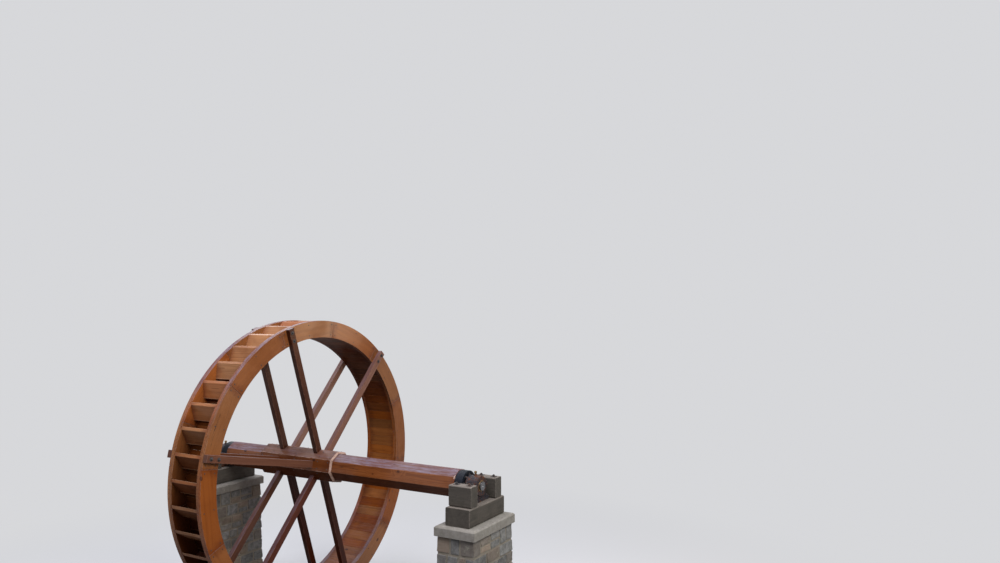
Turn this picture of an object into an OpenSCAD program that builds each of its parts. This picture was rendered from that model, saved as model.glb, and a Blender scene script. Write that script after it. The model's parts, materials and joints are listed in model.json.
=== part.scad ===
// Overshot water wheel on an eight-sided timber shaft, carried between two masonry piers.
// Millimetres. The shaft runs along Y, its front end towards -Y. Z is up, and the ground is at Z = 0.
// The origin is on the ground, at the middle of everything that stands on it.

/* [Wheel] */
// Diameter over the rim
wheel_d = 4000; // [3400:50:4900]
// Width over the outer faces of the two shrouds
wheel_w = 580; // [460:10:900]
// Gap between the rim and the ground
ground_gap = 150; // [60:10:400]

/* [Shrouds] */
// Depth of a shroud from its rim to its inner edge
shroud_depth = 235; // [190:5:320]
// Thickness of one layer of felloes
felloe_t = 36; // [28:1:46]
// Number of felloes in one layer of a shroud
felloe_count = 12; // [8:4:16]
// Angle of the first joint between felloes in the outer layer
felloe_joint_angle = 21.8; // [0:0.1:29]
// Gap in the joint between two felloes
felloe_joint = 2; // [1:0.5:4]

/* [Arms] */
// Angle of the first arm above the horizontal
arm_angle = 48; // [0:0.5:59]
// Width of an arm, seen from the front
arm_w = 92; // [70:2:120]
// Thickness of an arm, along the shaft
arm_t = 72; // [56:2:96]
// Depth that an arm is let into the shroud's outer face
arm_housing = 12; // [4:1:20]
// Width of an arm's tenon
tenon_w = 56; // [40:2:66]
// Thickness of an arm's tenon
tenon_t = 40; // [30:2:52]
// Depth of a tenon below the arm's shoulder
tenon_depth = 66; // [40:2:80]
// Depth that an arm's shoulder is housed in the flat of the shaft
shoulder_depth = 8; // [4:1:16]

/* [Buckets] */
// Number of buckets
bucket_count = 40; // [32:4:48]
// Angle of the rim edge of the first bucket
bucket_angle = 5.8; // [0:0.1:8.9]
// Number of sole boards behind each bucket
sole_boards_per_bucket = 2; // [2:2:4]
// Thickness of the sole boards
sole_t = 28; // [20:1:40]
// Thickness of the bucket boards
bucket_t = 28; // [20:1:36]
// Depth of a bucket's floor board, from the sole to the elbow
floor_depth = 66; // [50:2:90]
// Angle that a bucket's front board leans over between elbow and rim
front_lean = 4.6; // [3:0.1:6]
// Distance that the front boards stop short of the rim
bucket_inset = 4; // [0:1:12]
// Depth of the grooves in the shrouds that hold the ends of the boards
groove_depth = 12; // [6:1:18]

/* [Shaft] */
// Width of the shaft across its flats
shaft_af = 345; // [310:5:430]
// Number of the arm that stands square on a flat of the shaft
square_arm = 3; // [1:1:6]
// Length of the shaft in front of the wheel
shaft_front = 2330; // [1800:10:2800]
// Length of the shaft behind the wheel
shaft_back = 1080; // [800:20:1600]
// Thickness of the boards that thicken the shaft into a hub
hub_t = 30; // [26:1:40]
// Length of the hub beyond each outer face of the wheel
hub_over = 380; // [140:10:480]
// Chamfer on the ends of the hub boards
hub_chamfer = 22; // [5:1:24]
// Chamfer turned on the ends of the shaft
shaft_chamfer = 16; // [5:1:30]

/* [Gudgeons and bearings] */
// Step from the flats of the shaft down to the iron drum on its end
drum_step = 5; // [2:1:20]
// Length of the drum
drum_l = 110; // [70:5:160]
// Diameter of the gudgeon that turns in the bearing
gudgeon_d = 110; // [80:5:130]
// Gap along the shaft between the drum and the bearing
drum_gap = 20; // [10:1:40]
// Length of the bearing along the shaft
bearing_l = 160; // [120:5:200]
// Wall of the bearing's housing around the gudgeon
housing_wall = 65; // [45:5:75]
// Clear height between the drum and the sill
drum_clear = 24; // [15:1:60]
// Gap between the bearing's foot and each cheek
foot_side_gap = 25; // [5:5:60]
// Thickness of the bearing's foot
foot_t = 40; // [25:1:50]
// Distance that the foot stands out from the web in front and behind
web_inset = 22; // [10:1:35]
// Spread of the web's sides between the housing and the foot
web_spread = 28; // [0:2:40]
// Reach of the ears beyond the housing, where cap and block are bolted together
ear_reach = 45; // [35:1:60]
// Thickness of each ear
ear_t = 30; // [20:1:40]
// Diameter of the greasing boss on the cap
boss_d = 44; // [30:1:60]
// Height of the greasing boss
boss_h = 16; // [8:1:30]
// Length of gudgeon left beyond the bearing
gudgeon_over = 25; // [10:1:60]
// Chamfer on the edges of the ironwork
iron_chamfer = 5; // [2:1:8]

/* [Supports] */
// Clear space between the drum and each cheek timber
cheek_clear = 48; // [25:1:90]
// Width of a cheek timber
cheek_w = 150; // [120:5:200]
// Length of a cheek timber along the shaft
cheek_l = 320; // [260:10:380]
// Height of the cheeks above the shaft's axis
cheek_top = 60; // [0:5:120]
// Length that the sill timber runs beyond each cheek
sill_over = 55; // [20:5:120]
// Width of the sill timber along the shaft
sill_w = 340; // [300:10:400]
// Depth of the sill timber
sill_d = 220; // [160:5:260]
// Chamfer along the edges of the cheeks and the sill
timber_chamfer = 12; // [4:1:25]
// Distance that a pier's head runs beyond each end of the sill
pier_side = 50; // [20:5:120]
// Distance that a pier's head stands out in front of the sill, and behind it
pier_end = 90; // [30:5:160]
// Distance that each face of a pier leans out between its head and the ground
pier_batter = 45; // [0:5:90]
// Thickness of the padstone on a pier
padstone_t = 120; // [80:5:180]
// Distance that the padstone stands out from the pier's head
padstone_over = 25; // [0:5:60]
// Chamfer around the top of the padstone
padstone_chamfer = 18; // [5:1:40]

/* [Fits] */
// Gap on each side of a joint between timbers
fit_gap = 0.3; // [0.2:0.05:0.6]
// Running clearance around the gudgeon, on the radius
running_gap = 0.05; // [0.02:0.01:0.1]

/* [Hidden] */
arm_count = 6;
wheel_r = wheel_d / 2;
axle_z = wheel_r + ground_gap;
near_face_y = (shaft_front - wheel_w - shaft_back) / 2;

shroud_ri = wheel_r - shroud_depth;
shroud_t = 2 * felloe_t;
felloe_step = 360 / felloe_count;
inner_joint_angle = felloe_joint_angle + felloe_step / 2;

bucket_step = 360 / bucket_count;
sole_count = bucket_count * sole_boards_per_bucket;
sole_step = 360 / sole_count;
sole_r = shroud_ri + sole_t;
rebate_r = sole_r / cos(sole_step / 2) + fit_gap;
floor_angle = bucket_angle + front_lean;
board_end_z = 2 * felloe_t - groove_depth + fit_gap;
board_l = wheel_w - 2 * board_end_z;
front_rim_r = wheel_r - bucket_inset;

shaft_l = shaft_front + wheel_w + shaft_back;
shaft_corner_r = shaft_af / 2 / cos(22.5);
flat_angle = arm_angle + (square_arm - 1) * 360 / arm_count;
hub_l = wheel_w + 2 * hub_over;
shoulder_r = shaft_af / 2 - shoulder_depth;

drum_d = shaft_af - 2 * drum_step;
gudgeon_l = drum_gap + bearing_l + gudgeon_over;
bearing_out = drum_l + drum_gap + bearing_l / 2;
housing_d = gudgeon_d + 2 * housing_wall;
bearing_h = drum_d / 2 + drum_clear;
cheek_gap = drum_d + 2 * cheek_clear;
foot_w = cheek_gap - 2 * foot_side_gap;
sill_l = cheek_gap + 2 * cheek_w + 2 * sill_over;
pier_w = sill_l + 2 * pier_side;
pier_l = sill_w + 2 * pier_end;
pier_top_z = axle_z - bearing_h - sill_d - padstone_t;

// Elbow and rim end of a bucket's front board, in the plane of the wheel.
// The X axis runs out along the floor board, and a board's thickness is shared on both sides.
elbow = [sole_r + floor_depth, 0];
rim_end = front_rim_r * [cos(front_lean), -sin(front_lean)];
front_dir = (rim_end - elbow) / norm(rim_end - elbow);
front_side = [-front_dir.y, front_dir.x];
mitre = ([0, 1] + front_side) / (1 + front_side.y);

// Point where a line from a in direction d leaves the circle of radius r about the axle.
function on_circle(a, d, r) = a + (sqrt((a * d) ^ 2 - a * a + r ^ 2) - a * d) * d;

// Outlines of the two boards of a bucket, of thickness t. They are mitred at the elbow.
function floor_outline(t, root_r, elbow_gap) = let (m = mitre * t / 2, end = elbow - [elbow_gap, 0])
    [[root_r, -t / 2], end - m, end + m, [root_r, t / 2]];
function front_outline(t, rim_r) = let (m = mitre * t / 2)
    [elbow - m, on_circle(elbow - m, front_dir, rim_r), on_circle(elbow + m, front_dir, rim_r), elbow + m];

// Outline of a board w wide and h high with chamfered edges, its middle at the origin.
function chamfered(w, h, c) = [
    [-w / 2 + c, -h / 2], [w / 2 - c, -h / 2], [w / 2, -h / 2 + c], [w / 2, h / 2 - c],
    [w / 2 - c, h / 2], [-w / 2 + c, h / 2], [-w / 2, h / 2 - c], [-w / 2, -h / 2 + c]
];

arm_brown = "#9a5535";
shroud_orange = "#c4752f";
board_brown = "#8e5524";
shaft_brown = "#a2602f";
old_timber = "#6f5744";
iron = "#2b2d33";
stone = "#8d8a80";

// Puts its children in the plane of the wheel: X across, Y up, and Z towards the front.
// Z = 0 is the near shroud's outer face, and the far shroud's is at Z = -wheel_w.
module on_wheel() {
    translate([0, near_face_y, axle_z]) rotate([90, 0, 0]) children();
}

// Puts its children on one side of the wheel: Z = 0 is that shroud's outer face, and Z points outwards.
module on_side(side) {
    on_wheel() if (side == "near") children();
    else translate([0, 0, -wheel_w]) mirror([0, 0, 1]) children();
}

// Puts its children at one bearing: Y = 0 is the bearing's middle, and Z = 0 the shaft's axis.
module at_bearing(side) {
    y = side == "near" ? near_face_y - shaft_front - bearing_out
                       : near_face_y + wheel_w + shaft_back + bearing_out;
    translate([0, y, axle_z]) children();
}

// A box from x0 to x1 and z0 to z1, centred on y = 0.
module bar(x0, x1, w, z0, z1) {
    translate([x0, -w / 2, z0]) cube([x1 - x0, w, z1 - z0]);
}

// The straight length of an arm and its tenon, grown by gap on every side for the joint that holds it.
module arm_stick(number, gap) {
    middle = arm_t / 2 - arm_housing;
    rotate([0, 0, arm_angle + (number - 1) * 360 / arm_count]) {
        bar(shoulder_r - gap, 1.1 * wheel_r, arm_w + 2 * gap, -arm_housing - gap, arm_t - arm_housing + gap);
        bar(shoulder_r - tenon_depth - gap, shoulder_r, tenon_w + 2 * gap,
            middle - tenon_t / 2 - gap, middle + tenon_t / 2 + gap);
    }
}

// One arm, let into the outer face of its shroud and cut off round at the rim.
module arm(side, number) {
    color(arm_brown) on_side(side) intersection() {
        arm_stick(number, 0);
        translate([0, 0, -arm_t]) cylinder(r = wheel_r, h = 2 * arm_t, $fn = 180);
    }
}

module all_mortises() {
    for (side = ["near", "far"]) on_side(side)
        for (number = [1 : arm_count]) arm_stick(number, fit_gap);
}

// The eight-sided shaft, with its ends turned to a chamfer and a mortise for every arm.
// One arm and the arm across from it stand square on two of its flats.
module shaft() {
    end_r = shaft_corner_r - shaft_chamfer;
    color(shaft_brown) difference() {
        on_wheel() translate([0, 0, shaft_front - shaft_l]) intersection() {
            rotate([0, 0, flat_angle + 22.5]) cylinder(r = shaft_corner_r, h = shaft_l, $fn = 8);
            rotate_extrude($fn = 120) polygon([
                [0, 0], [end_r, 0], [end_r + 2 * shaft_chamfer, 2 * shaft_chamfer],
                [end_r + 2 * shaft_chamfer, shaft_l - 2 * shaft_chamfer], [end_r, shaft_l], [0, shaft_l]
            ]);
        }
        all_mortises();
    }
}

// Every second one of the eight boards that thicken the shaft where the arms enter it.
module hub_boards(first) {
    r_in = shaft_af / 2 + fit_gap;
    r_out = shaft_af / 2 + hub_t;
    side_in = r_in * tan(22.5) - fit_gap;
    side_out = r_out * tan(22.5) - fit_gap;
    color(shaft_brown) difference() {
        on_wheel() for (i = [first : 2 : 7]) rotate([0, 0, flat_angle + i * 45])
            intersection() {
                translate([0, 0, hub_over - hub_l]) linear_extrude(height = hub_l)
                    polygon([[r_in, -side_in], [r_out, -side_out], [r_out, side_out], [r_in, side_in]]);
                translate([0, r_out, hub_over]) rotate([90, 0, 0]) linear_extrude(height = 2 * r_out)
                    polygon([
                        [0, 0], [r_out - hub_chamfer, 0], [r_out, -hub_chamfer],
                        [r_out, hub_chamfer - hub_l], [r_out - hub_chamfer, -hub_l], [0, -hub_l]
                    ]);
            }
        all_mortises();
    }
}

// Iron drum on the end of the shaft, and the gudgeon that stands out of it.
module gudgeon(side) {
    over = side == "near" ? shaft_front : shaft_back;
    c = iron_chamfer;
    end = drum_l + gudgeon_l;
    color(iron) on_side(side) translate([0, 0, over + fit_gap]) rotate_extrude($fn = 120) polygon([
        [0, 0], [drum_d / 2, 0], [drum_d / 2, drum_l - c], [drum_d / 2 - c, drum_l],
        [gudgeon_d / 2 + c, drum_l], [gudgeon_d / 2, drum_l + c],
        [gudgeon_d / 2, end - c], [gudgeon_d / 2 - c, end], [0, end]
    ]);
}

// One curved board of a shroud, from one joint to the next.
module felloe(angle) {
    half = felloe_step / 2;
    reach = 1.2 * wheel_r;
    rotate([0, 0, angle + half]) linear_extrude(height = felloe_t) difference() {
        circle(r = wheel_r, $fn = 240);
        circle(r = shroud_ri, $fn = 240);
        rotate([0, 0, half]) translate([-reach, -felloe_joint / 2]) square([2 * reach, 2 * reach]);
        rotate([0, 0, -half]) translate([-reach, felloe_joint / 2 - 2 * reach]) square(2 * reach);
    }
}

// Every second felloe of the outer layer, with the shallow housings that the arms lie in.
module outer_felloes(side, first) {
    color(shroud_orange) on_side(side) difference() {
        translate([0, 0, -felloe_t]) for (i = [first : 2 : felloe_count - 1])
            felloe(felloe_joint_angle + i * felloe_step);
        for (number = [1 : arm_count]) rotate([0, 0, arm_angle + (number - 1) * 360 / arm_count])
            bar(shoulder_r, 1.1 * wheel_r, arm_w + 2 * fit_gap, -arm_housing, 1);
    }
}

// Every second felloe of the inner layer, grooved for the bucket boards and rebated for the sole.
module inner_felloes(side, first) {
    groove_t = bucket_t + 2 * fit_gap;
    color(shroud_orange) on_side(side) difference() {
        translate([0, 0, -shroud_t]) for (i = [first : 2 : felloe_count - 1])
            felloe(inner_joint_angle + i * felloe_step);
        translate([0, 0, -shroud_t - 1]) linear_extrude(height = groove_depth + 1) {
            circle(r = rebate_r, $fn = 240);
            for (i = [0 : bucket_count - 1]) rotate([0, 0, floor_angle + i * bucket_step]) {
                polygon(floor_outline(groove_t, shroud_ri, 0));
                polygon(front_outline(groove_t, 1.02 * wheel_r));
            }
        }
    }
}

// Stands its children on end between the two shrouds, their ends in the grooves.
module between_shrouds() {
    on_wheel() translate([0, 0, board_end_z - wheel_w]) linear_extrude(height = board_l) children();
}

// Every second board of the drum that closes the buckets towards the shaft.
module sole_boards(first) {
    side_in = shroud_ri * tan(sole_step / 2) - fit_gap;
    side_out = sole_r * tan(sole_step / 2) - fit_gap;
    color(board_brown) between_shrouds() for (i = [first : 2 : sole_count - 1])
        rotate([0, 0, floor_angle + i * sole_step])
            polygon([[shroud_ri, -side_in], [sole_r, -side_out], [sole_r, side_out], [shroud_ri, side_in]]);
}

module bucket_floors() {
    color(board_brown) between_shrouds() for (i = [0 : bucket_count - 1])
        rotate([0, 0, floor_angle + i * bucket_step])
            polygon(floor_outline(bucket_t, sole_r + fit_gap, fit_gap));
}

module bucket_fronts() {
    color(board_brown) between_shrouds() for (i = [0 : bucket_count - 1])
        rotate([0, 0, floor_angle + i * bucket_step])
            polygon(front_outline(bucket_t, front_rim_r));
}

// Stands the children's outline up across the shaft and gives it a length along it.
module across(length) {
    translate([0, length / 2, 0]) rotate([90, 0, 0]) linear_extrude(height = length) children();
}

module gudgeon_hole() {
    r = gudgeon_d / 2 + running_gap;
    translate([0, bearing_l, 0]) rotate([90, 0, 0]) cylinder(r = r, h = 2 * bearing_l, $fn = 96);
}

// Half of the bearing's housing with its two ears, above the joint or, turned over, below it.
module half_housing() {
    across(bearing_l) intersection() {
        circle(d = housing_d, $fn = 120);
        translate([-housing_d / 2, 0]) square([housing_d, housing_d / 2]);
    }
    across(bearing_l - web_inset) translate([-housing_d / 2 - ear_reach, 0])
        square([housing_d + 2 * ear_reach, ear_t]);
}

module bearing(side) {
    web_w = housing_d / 2;
    color(iron) at_bearing(side) difference() {
        union() {
            mirror([0, 0, 1]) half_housing();
            across(bearing_l) translate([0, foot_t / 2 - bearing_h])
                polygon(chamfered(foot_w, foot_t, iron_chamfer));
            across(bearing_l - 2 * web_inset) polygon([
                [-web_w, -ear_t / 2], [-web_w - web_spread, foot_t / 2 - bearing_h],
                [web_w + web_spread, foot_t / 2 - bearing_h], [web_w, -ear_t / 2]
            ]);
        }
        gudgeon_hole();
    }
}

module bearing_cap(side) {
    color(iron) at_bearing(side) translate([0, 0, fit_gap / 2]) difference() {
        union() {
            half_housing();
            cylinder(d = boss_d, h = housing_d / 2 + boss_h, $fn = 48);
        }
        translate([0, 0, -fit_gap / 2]) gudgeon_hole();
    }
}

// The two short timbers that stand beside the bearing on the sill.
module cheeks(side) {
    h = bearing_h + cheek_top;
    color(old_timber) at_bearing(side) for (x = [-1, 1])
        translate([x * (cheek_gap + cheek_w) / 2, 0, cheek_top - h / 2])
            across(cheek_l) polygon(chamfered(cheek_w, h, timber_chamfer));
}

module sill(side) {
    color(old_timber) at_bearing(side) translate([0, 0, -bearing_h - sill_d / 2])
        rotate([0, 0, 90]) across(sill_l) polygon(chamfered(sill_w, sill_d, timber_chamfer));
}

// A block w by l by h with sloping faces or edges: the same outline, seen along X and along Y.
module shaped_block(w, l, outline_w, outline_l) {
    intersection() {
        across(2 * l) polygon(outline_w);
        rotate([0, 0, 90]) across(2 * w) polygon(outline_l);
    }
}

function padstone_outline(w) = [
    [-w / 2, 0], [w / 2, 0], [w / 2, padstone_t - padstone_chamfer], [w / 2 - padstone_chamfer, padstone_t],
    [padstone_chamfer - w / 2, padstone_t], [-w / 2, padstone_t - padstone_chamfer]
];

module padstone(side) {
    w = pier_w + 2 * padstone_over;
    l = pier_l + 2 * padstone_over;
    color(stone) at_bearing(side) translate([0, 0, pier_top_z - axle_z])
        shaped_block(w, l, padstone_outline(w), padstone_outline(l));
}

function pier_outline(w) = [
    [-w / 2 - pier_batter, 0], [w / 2 + pier_batter, 0], [w / 2, pier_top_z], [-w / 2, pier_top_z]
];

module pier(side) {
    color(stone) at_bearing(side) translate([0, 0, -axle_z])
        shaped_block(pier_w, pier_l, pier_outline(pier_w), pier_outline(pier_l));
}

shaft();
hub_boards(1);  // hub_boards_odd
hub_boards(0);  // hub_boards_even
gudgeon("near");  // near_gudgeon
gudgeon("far");  // far_gudgeon
arm("near", 1);  // near_arm_1
arm("near", 2);  // near_arm_2
arm("near", 3);  // near_arm_3
arm("near", 4);  // near_arm_4
arm("near", 5);  // near_arm_5
arm("near", 6);  // near_arm_6
arm("far", 1);  // far_arm_1
arm("far", 2);  // far_arm_2
arm("far", 3);  // far_arm_3
arm("far", 4);  // far_arm_4
arm("far", 5);  // far_arm_5
arm("far", 6);  // far_arm_6
outer_felloes("near", 1);  // near_outer_felloes_odd
outer_felloes("near", 0);  // near_outer_felloes_even
inner_felloes("near", 1);  // near_inner_felloes_odd
inner_felloes("near", 0);  // near_inner_felloes_even
outer_felloes("far", 1);  // far_outer_felloes_odd
outer_felloes("far", 0);  // far_outer_felloes_even
inner_felloes("far", 1);  // far_inner_felloes_odd
inner_felloes("far", 0);  // far_inner_felloes_even
sole_boards(1);  // sole_boards_odd
sole_boards(0);  // sole_boards_even
bucket_floors();
bucket_fronts();
pier("near");  // near_pier
padstone("near");  // near_padstone
sill("near");  // near_sill
cheeks("near");  // near_cheeks
bearing("near");  // near_bearing
bearing_cap("near");  // near_bearing_cap
pier("far");  // far_pier
padstone("far");  // far_padstone
sill("far");  // far_sill
cheeks("far");  // far_cheeks
bearing("far");  // far_bearing
bearing_cap("far");  // far_bearing_cap
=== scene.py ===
# %% [markdown]
# # A timber water wheel, finished in Blender
# The construction of the wheel is already packed as a CAD model. This lesson loads that model as a
# fixed frame and builds the looks around it: sawn boards with soft edges, varnished grain, iron
# fittings and rubble piers. Nothing of the frame is moved, so every size below is either read from
# the frame or is the same value that the construction uses, in metres.

# %% Load the fixed frame
import json
import math
import random

import bpy
import numpy as np
from mathutils import Matrix, Vector


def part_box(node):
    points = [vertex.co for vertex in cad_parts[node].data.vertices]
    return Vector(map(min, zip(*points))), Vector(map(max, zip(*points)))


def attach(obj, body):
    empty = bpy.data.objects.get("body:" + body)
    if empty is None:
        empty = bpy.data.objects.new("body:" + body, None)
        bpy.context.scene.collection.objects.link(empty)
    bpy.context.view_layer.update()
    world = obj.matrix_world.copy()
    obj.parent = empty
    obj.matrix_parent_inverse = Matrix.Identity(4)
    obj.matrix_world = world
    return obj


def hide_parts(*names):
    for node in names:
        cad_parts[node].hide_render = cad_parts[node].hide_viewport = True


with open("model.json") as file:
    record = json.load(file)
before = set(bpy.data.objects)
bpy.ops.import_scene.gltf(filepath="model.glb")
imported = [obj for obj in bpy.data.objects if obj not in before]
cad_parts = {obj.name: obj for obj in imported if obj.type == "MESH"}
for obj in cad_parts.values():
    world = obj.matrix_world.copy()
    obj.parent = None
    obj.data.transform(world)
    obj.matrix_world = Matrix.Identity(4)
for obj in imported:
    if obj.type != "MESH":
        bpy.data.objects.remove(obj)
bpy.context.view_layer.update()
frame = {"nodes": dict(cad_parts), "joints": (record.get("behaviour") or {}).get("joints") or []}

# %% [markdown]
# The frame tells the main sizes. The wheel's rim, its two outer faces, the axle's height and the
# shaft's ends come from the boxes of the CAD nodes. The wheel turns about a line along Y, so a place
# on it is given by an angle, a distance from the axle and a distance along Y. Angles grow from +X
# towards +Z, as they do on a drawing of the wheel's front. The frame keeps every second board of a
# ring in one node and the others in a second one, so the pieces here are split the same way.

# %% Sizes of the wheel
SIDES = ("near", "far")
HALVES = {"even": 0, "odd": 1}
BODY_OF_WHEEL = "wheel"
BODY_OF_SUPPORTS = "supports"


def along_y(node):
    """The low and the high end of a frame node along the shaft."""
    low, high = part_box(node)
    return low.y, high.y


AXLE = Vector((0, 0, frame["joints"][0]["pos_m"][2]))
RIM_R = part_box("near_outer_felloes_odd")[1].x
NEAR_FACE = along_y("near_outer_felloes_odd")[0]
FAR_FACE = along_y("far_outer_felloes_odd")[1]
FACE = {"near": NEAR_FACE, "far": FAR_FACE}
OUTWARD = {"near": -1, "far": 1}
FIT_GAP = 0.0003

FELLOE_T = 0.036
SHROUD_DEPTH = 0.235
SHROUD_RI = RIM_R - SHROUD_DEPTH
FELLOE_COUNT = 12
FELLOE_STEP = 360 / FELLOE_COUNT
FELLOE_JOINT = 0.002
FIRST_JOINT = 21.8

ARM_COUNT = 6
FIRST_ARM = 48
ARM_W = 0.092
ARM_T = 0.072
ARM_HOUSING = 0.012
TENON_W = 0.056
TENON_T = 0.040
TENON_DEPTH = 0.066

BUCKET_COUNT = 40
BUCKET_STEP = 360 / BUCKET_COUNT
BUCKET_ANGLE = 5.8
FRONT_LEAN = 4.6
FLOOR_DEPTH = 0.066
BOARD_T = 0.028
GROOVE_DEPTH = 0.012
FRONT_INSET = 0.004
FLOOR_ANGLE = BUCKET_ANGLE + FRONT_LEAN

SHAFT_AF = 0.345
FACET_COUNT = 8
FACET_STEP = 360 / FACET_COUNT
SQUARE_ARM = 3
FLAT_ANGLE = FIRST_ARM + (SQUARE_ARM - 1) * 360 / ARM_COUNT
SHOULDER_DEPTH = 0.008
SHOULDER_R = SHAFT_AF / 2 - SHOULDER_DEPTH
print(f"rim {RIM_R:.3f} m, faces at y {NEAR_FACE:.3f} and {FAR_FACE:.3f} m, axle at z {AXLE.z:.3f} m")

# %% [markdown]
# Blender's operators act on whatever is selected, and loading the frame leaves all of its nodes
# selected. So each step starts by selecting nothing, and then picks its own object. In edit mode the
# faces and edges to work on are picked by where they lie or by where they face, as one would click
# them by hand.

# %% Helpers for selecting and shaping
def leave_edit_mode():
    bpy.ops.object.mode_set(mode="OBJECT")


def select_only(*objects):
    if bpy.context.object is not None and bpy.context.object.mode != "OBJECT":
        leave_edit_mode()
    bpy.ops.object.select_all(action="DESELECT")
    for each in objects:
        each.select_set(True)
    if objects:
        bpy.context.view_layer.objects.active = objects[0]


def pick(piece, kind, test):
    """Enters edit mode with the edges or faces selected whose middle and direction pass the test."""
    select_only(piece)
    bpy.ops.object.mode_set(mode="EDIT")
    bpy.ops.mesh.select_mode(type=kind)
    bpy.ops.mesh.select_all(action="DESELECT")
    leave_edit_mode()
    mesh = piece.data
    if kind == "FACE":
        for face in mesh.polygons:
            face.select = bool(test(face.center, face.normal))
    else:
        for edge in mesh.edges:
            a, b = (mesh.vertices[i].co for i in edge.vertices)
            edge.select = bool(test((a + b) / 2, (b - a).normalized()))
    bpy.ops.object.mode_set(mode="EDIT")


def pick_all(piece):
    pick(piece, "FACE", lambda middle, facing: True)


def just_added(name):
    """The primitive that was added last, with its place and size moved into its mesh."""
    bpy.ops.object.transform_apply(location=True, rotation=True, scale=True)
    bpy.context.object.name = name
    return bpy.context.object


def middle_and_size(*ranges):
    """The middle and the size of a box, from its low and high ends along X, Y and Z."""
    return [(low + high) / 2 for low, high in ranges], [high - low for low, high in ranges]


def boxed(name, x, y, z):
    """A block from the low to the high end of each of the three ranges."""
    middle, size = middle_and_size(x, y, z)
    select_only()
    bpy.ops.mesh.primitive_cube_add(size=1, location=middle, scale=size)
    return just_added(name)


def new_rectangle(name, x, y):
    """A flat rectangle in the XY plane, from the low to the high end of two ranges."""
    select_only()
    bpy.ops.mesh.primitive_plane_add(size=1, location=(sum(x) / 2, sum(y) / 2, 0))
    bpy.context.object.scale = (x[1] - x[0], y[1] - y[0], 1)
    return just_added(name)


def finish_with(piece, kind, **settings):
    """Adds a modifier, sets it and applies it."""
    select_only(piece)
    modifier = piece.modifiers.new(kind.lower(), kind)
    for key, value in settings.items():
        setattr(modifier, key, value)
    bpy.ops.object.modifier_apply(modifier=modifier.name)


def round_edges(piece, width, steps=2, angle=30):
    finish_with(piece, "BEVEL", width=width, segments=steps, limit_method="ANGLE",
                angle_limit=math.radians(angle), harden_normals=False)


def copy_to(piece, matrix, name):
    """A copy with its own mesh, whose place is in the mesh."""
    twin = piece.copy()
    twin.data = piece.data.copy()
    twin.name = name
    bpy.context.scene.collection.objects.link(twin)
    twin.data.transform(matrix)
    return twin


def remove(*objects):
    for each in objects:
        bpy.data.objects.remove(each)


def join(pieces, name):
    select_only(*pieces)
    bpy.ops.object.join()
    joined = bpy.context.object
    joined.name = name
    joined.data.name = name
    return joined


def swing(angle):
    """A turn about the Y axis, which takes +X towards +Z as the angle grows."""
    return Matrix.Rotation(-math.radians(angle), 4, "Y")


def turned(angle, y=0.0):
    """Turns a piece that was made on the +X side of the axle, and slides it along Y."""
    return Matrix.Translation(AXLE + Vector((0, y, 0))) @ swing(angle)


print("helpers ready")

# %% [markdown]
# Wood looks right only when its grain follows each board. Object coordinates alone can't do that on
# a wheel, where every board points another way. So each board stores where it is on itself before it
# is put in place: `grain` holds along, across and through, moved by its own random amount so that no
# two boards are alike, `place` holds the same measured from the board's middle, `half` its half
# size, and `tone` a random number for its shade. The material later finds the worn edges from
# `place` and `half`. `age_and_painted_light` runs from 1, paler, to -1, darker: partly bleached and
# stained wood, and partly painted sheen and painted shade. Three more marks are given to single
# faces further on: `skyward` is how much a face looks up, `rubbed` is worn bare wood, and
# `soaked_and_shaded` is wood that closes a bucket, darkened as wet wood and as painted shade.

# %% Marks on a board that its material will read
BOARD_HEART = (0.05, 0.16)
TRUNK_LENGTH = 60
dice = random.Random(11)


def corner_points(mesh):
    """The place of every face corner of the mesh, one row each."""
    index = np.empty(len(mesh.loops), np.int32)
    mesh.loops.foreach_get("vertex_index", index)
    points = np.empty(len(mesh.vertices) * 3, np.float32)
    mesh.vertices.foreach_get("co", points)
    return points.reshape(-1, 3)[index].astype(float)


def write_mark(mesh, name, values, kind="FLOAT_VECTOR", domain="CORNER"):
    old = mesh.attributes.get(name)
    if old is not None:
        mesh.attributes.remove(old)
    mark = mesh.attributes.new(name, kind, domain)
    field = "value" if kind == "FLOAT" else "vector"
    mark.data.foreach_set(field, np.asarray(values, np.float32).ravel())


def mark_faces(piece, name, values):
    """Stores a number on each face: one for all of them, or a list with one for each."""
    mesh = piece.data
    write_mark(mesh, name, np.broadcast_to(values, len(mesh.polygons)), "FLOAT", "FACE")


def mark_board(piece, half, grain, place):
    """Stores the grain and the place of every face corner of a board, and half the board's size."""
    mesh = piece.data
    write_mark(mesh, "grain", grain)
    write_mark(mesh, "place", place)
    write_mark(mesh, "half", np.tile(half, (len(mesh.polygons), 1)), domain="FACE")
    return piece


def own_grain(piece, heart=BOARD_HEART, age_and_painted_light=0.0):
    """Moves the grain of one board to its own part of an imagined trunk, and gives it its shade."""
    mesh = piece.data
    along = dice.uniform(0, TRUNK_LENGTH)
    across = dice.uniform(-0.6, 0.6) * heart[1]
    deep = dice.choice((-1, 1)) * dice.uniform(*heart)
    values = np.empty(len(mesh.loops) * 3, np.float32)
    mesh.attributes["grain"].data.foreach_get("vector", values)
    write_mark(mesh, "grain", values.reshape(-1, 3) + np.array((along, across, deep), np.float32))
    mark_faces(piece, "tone", dice.random())
    mark_faces(piece, "age_and_painted_light", age_and_painted_light)
    return piece


print("board marks ready")

# %% [markdown]
# Shader nodes are made in code here. What a node puts out is wrapped as a field, which can be added
# and multiplied like a number, and each such step adds the Math node that does it. A vector field
# adds Vector Math nodes in the same way. An effect that several materials share becomes a node
# group with named inputs and outputs, and it puts out only masks and values. The shader itself stays
# in each material.

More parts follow.
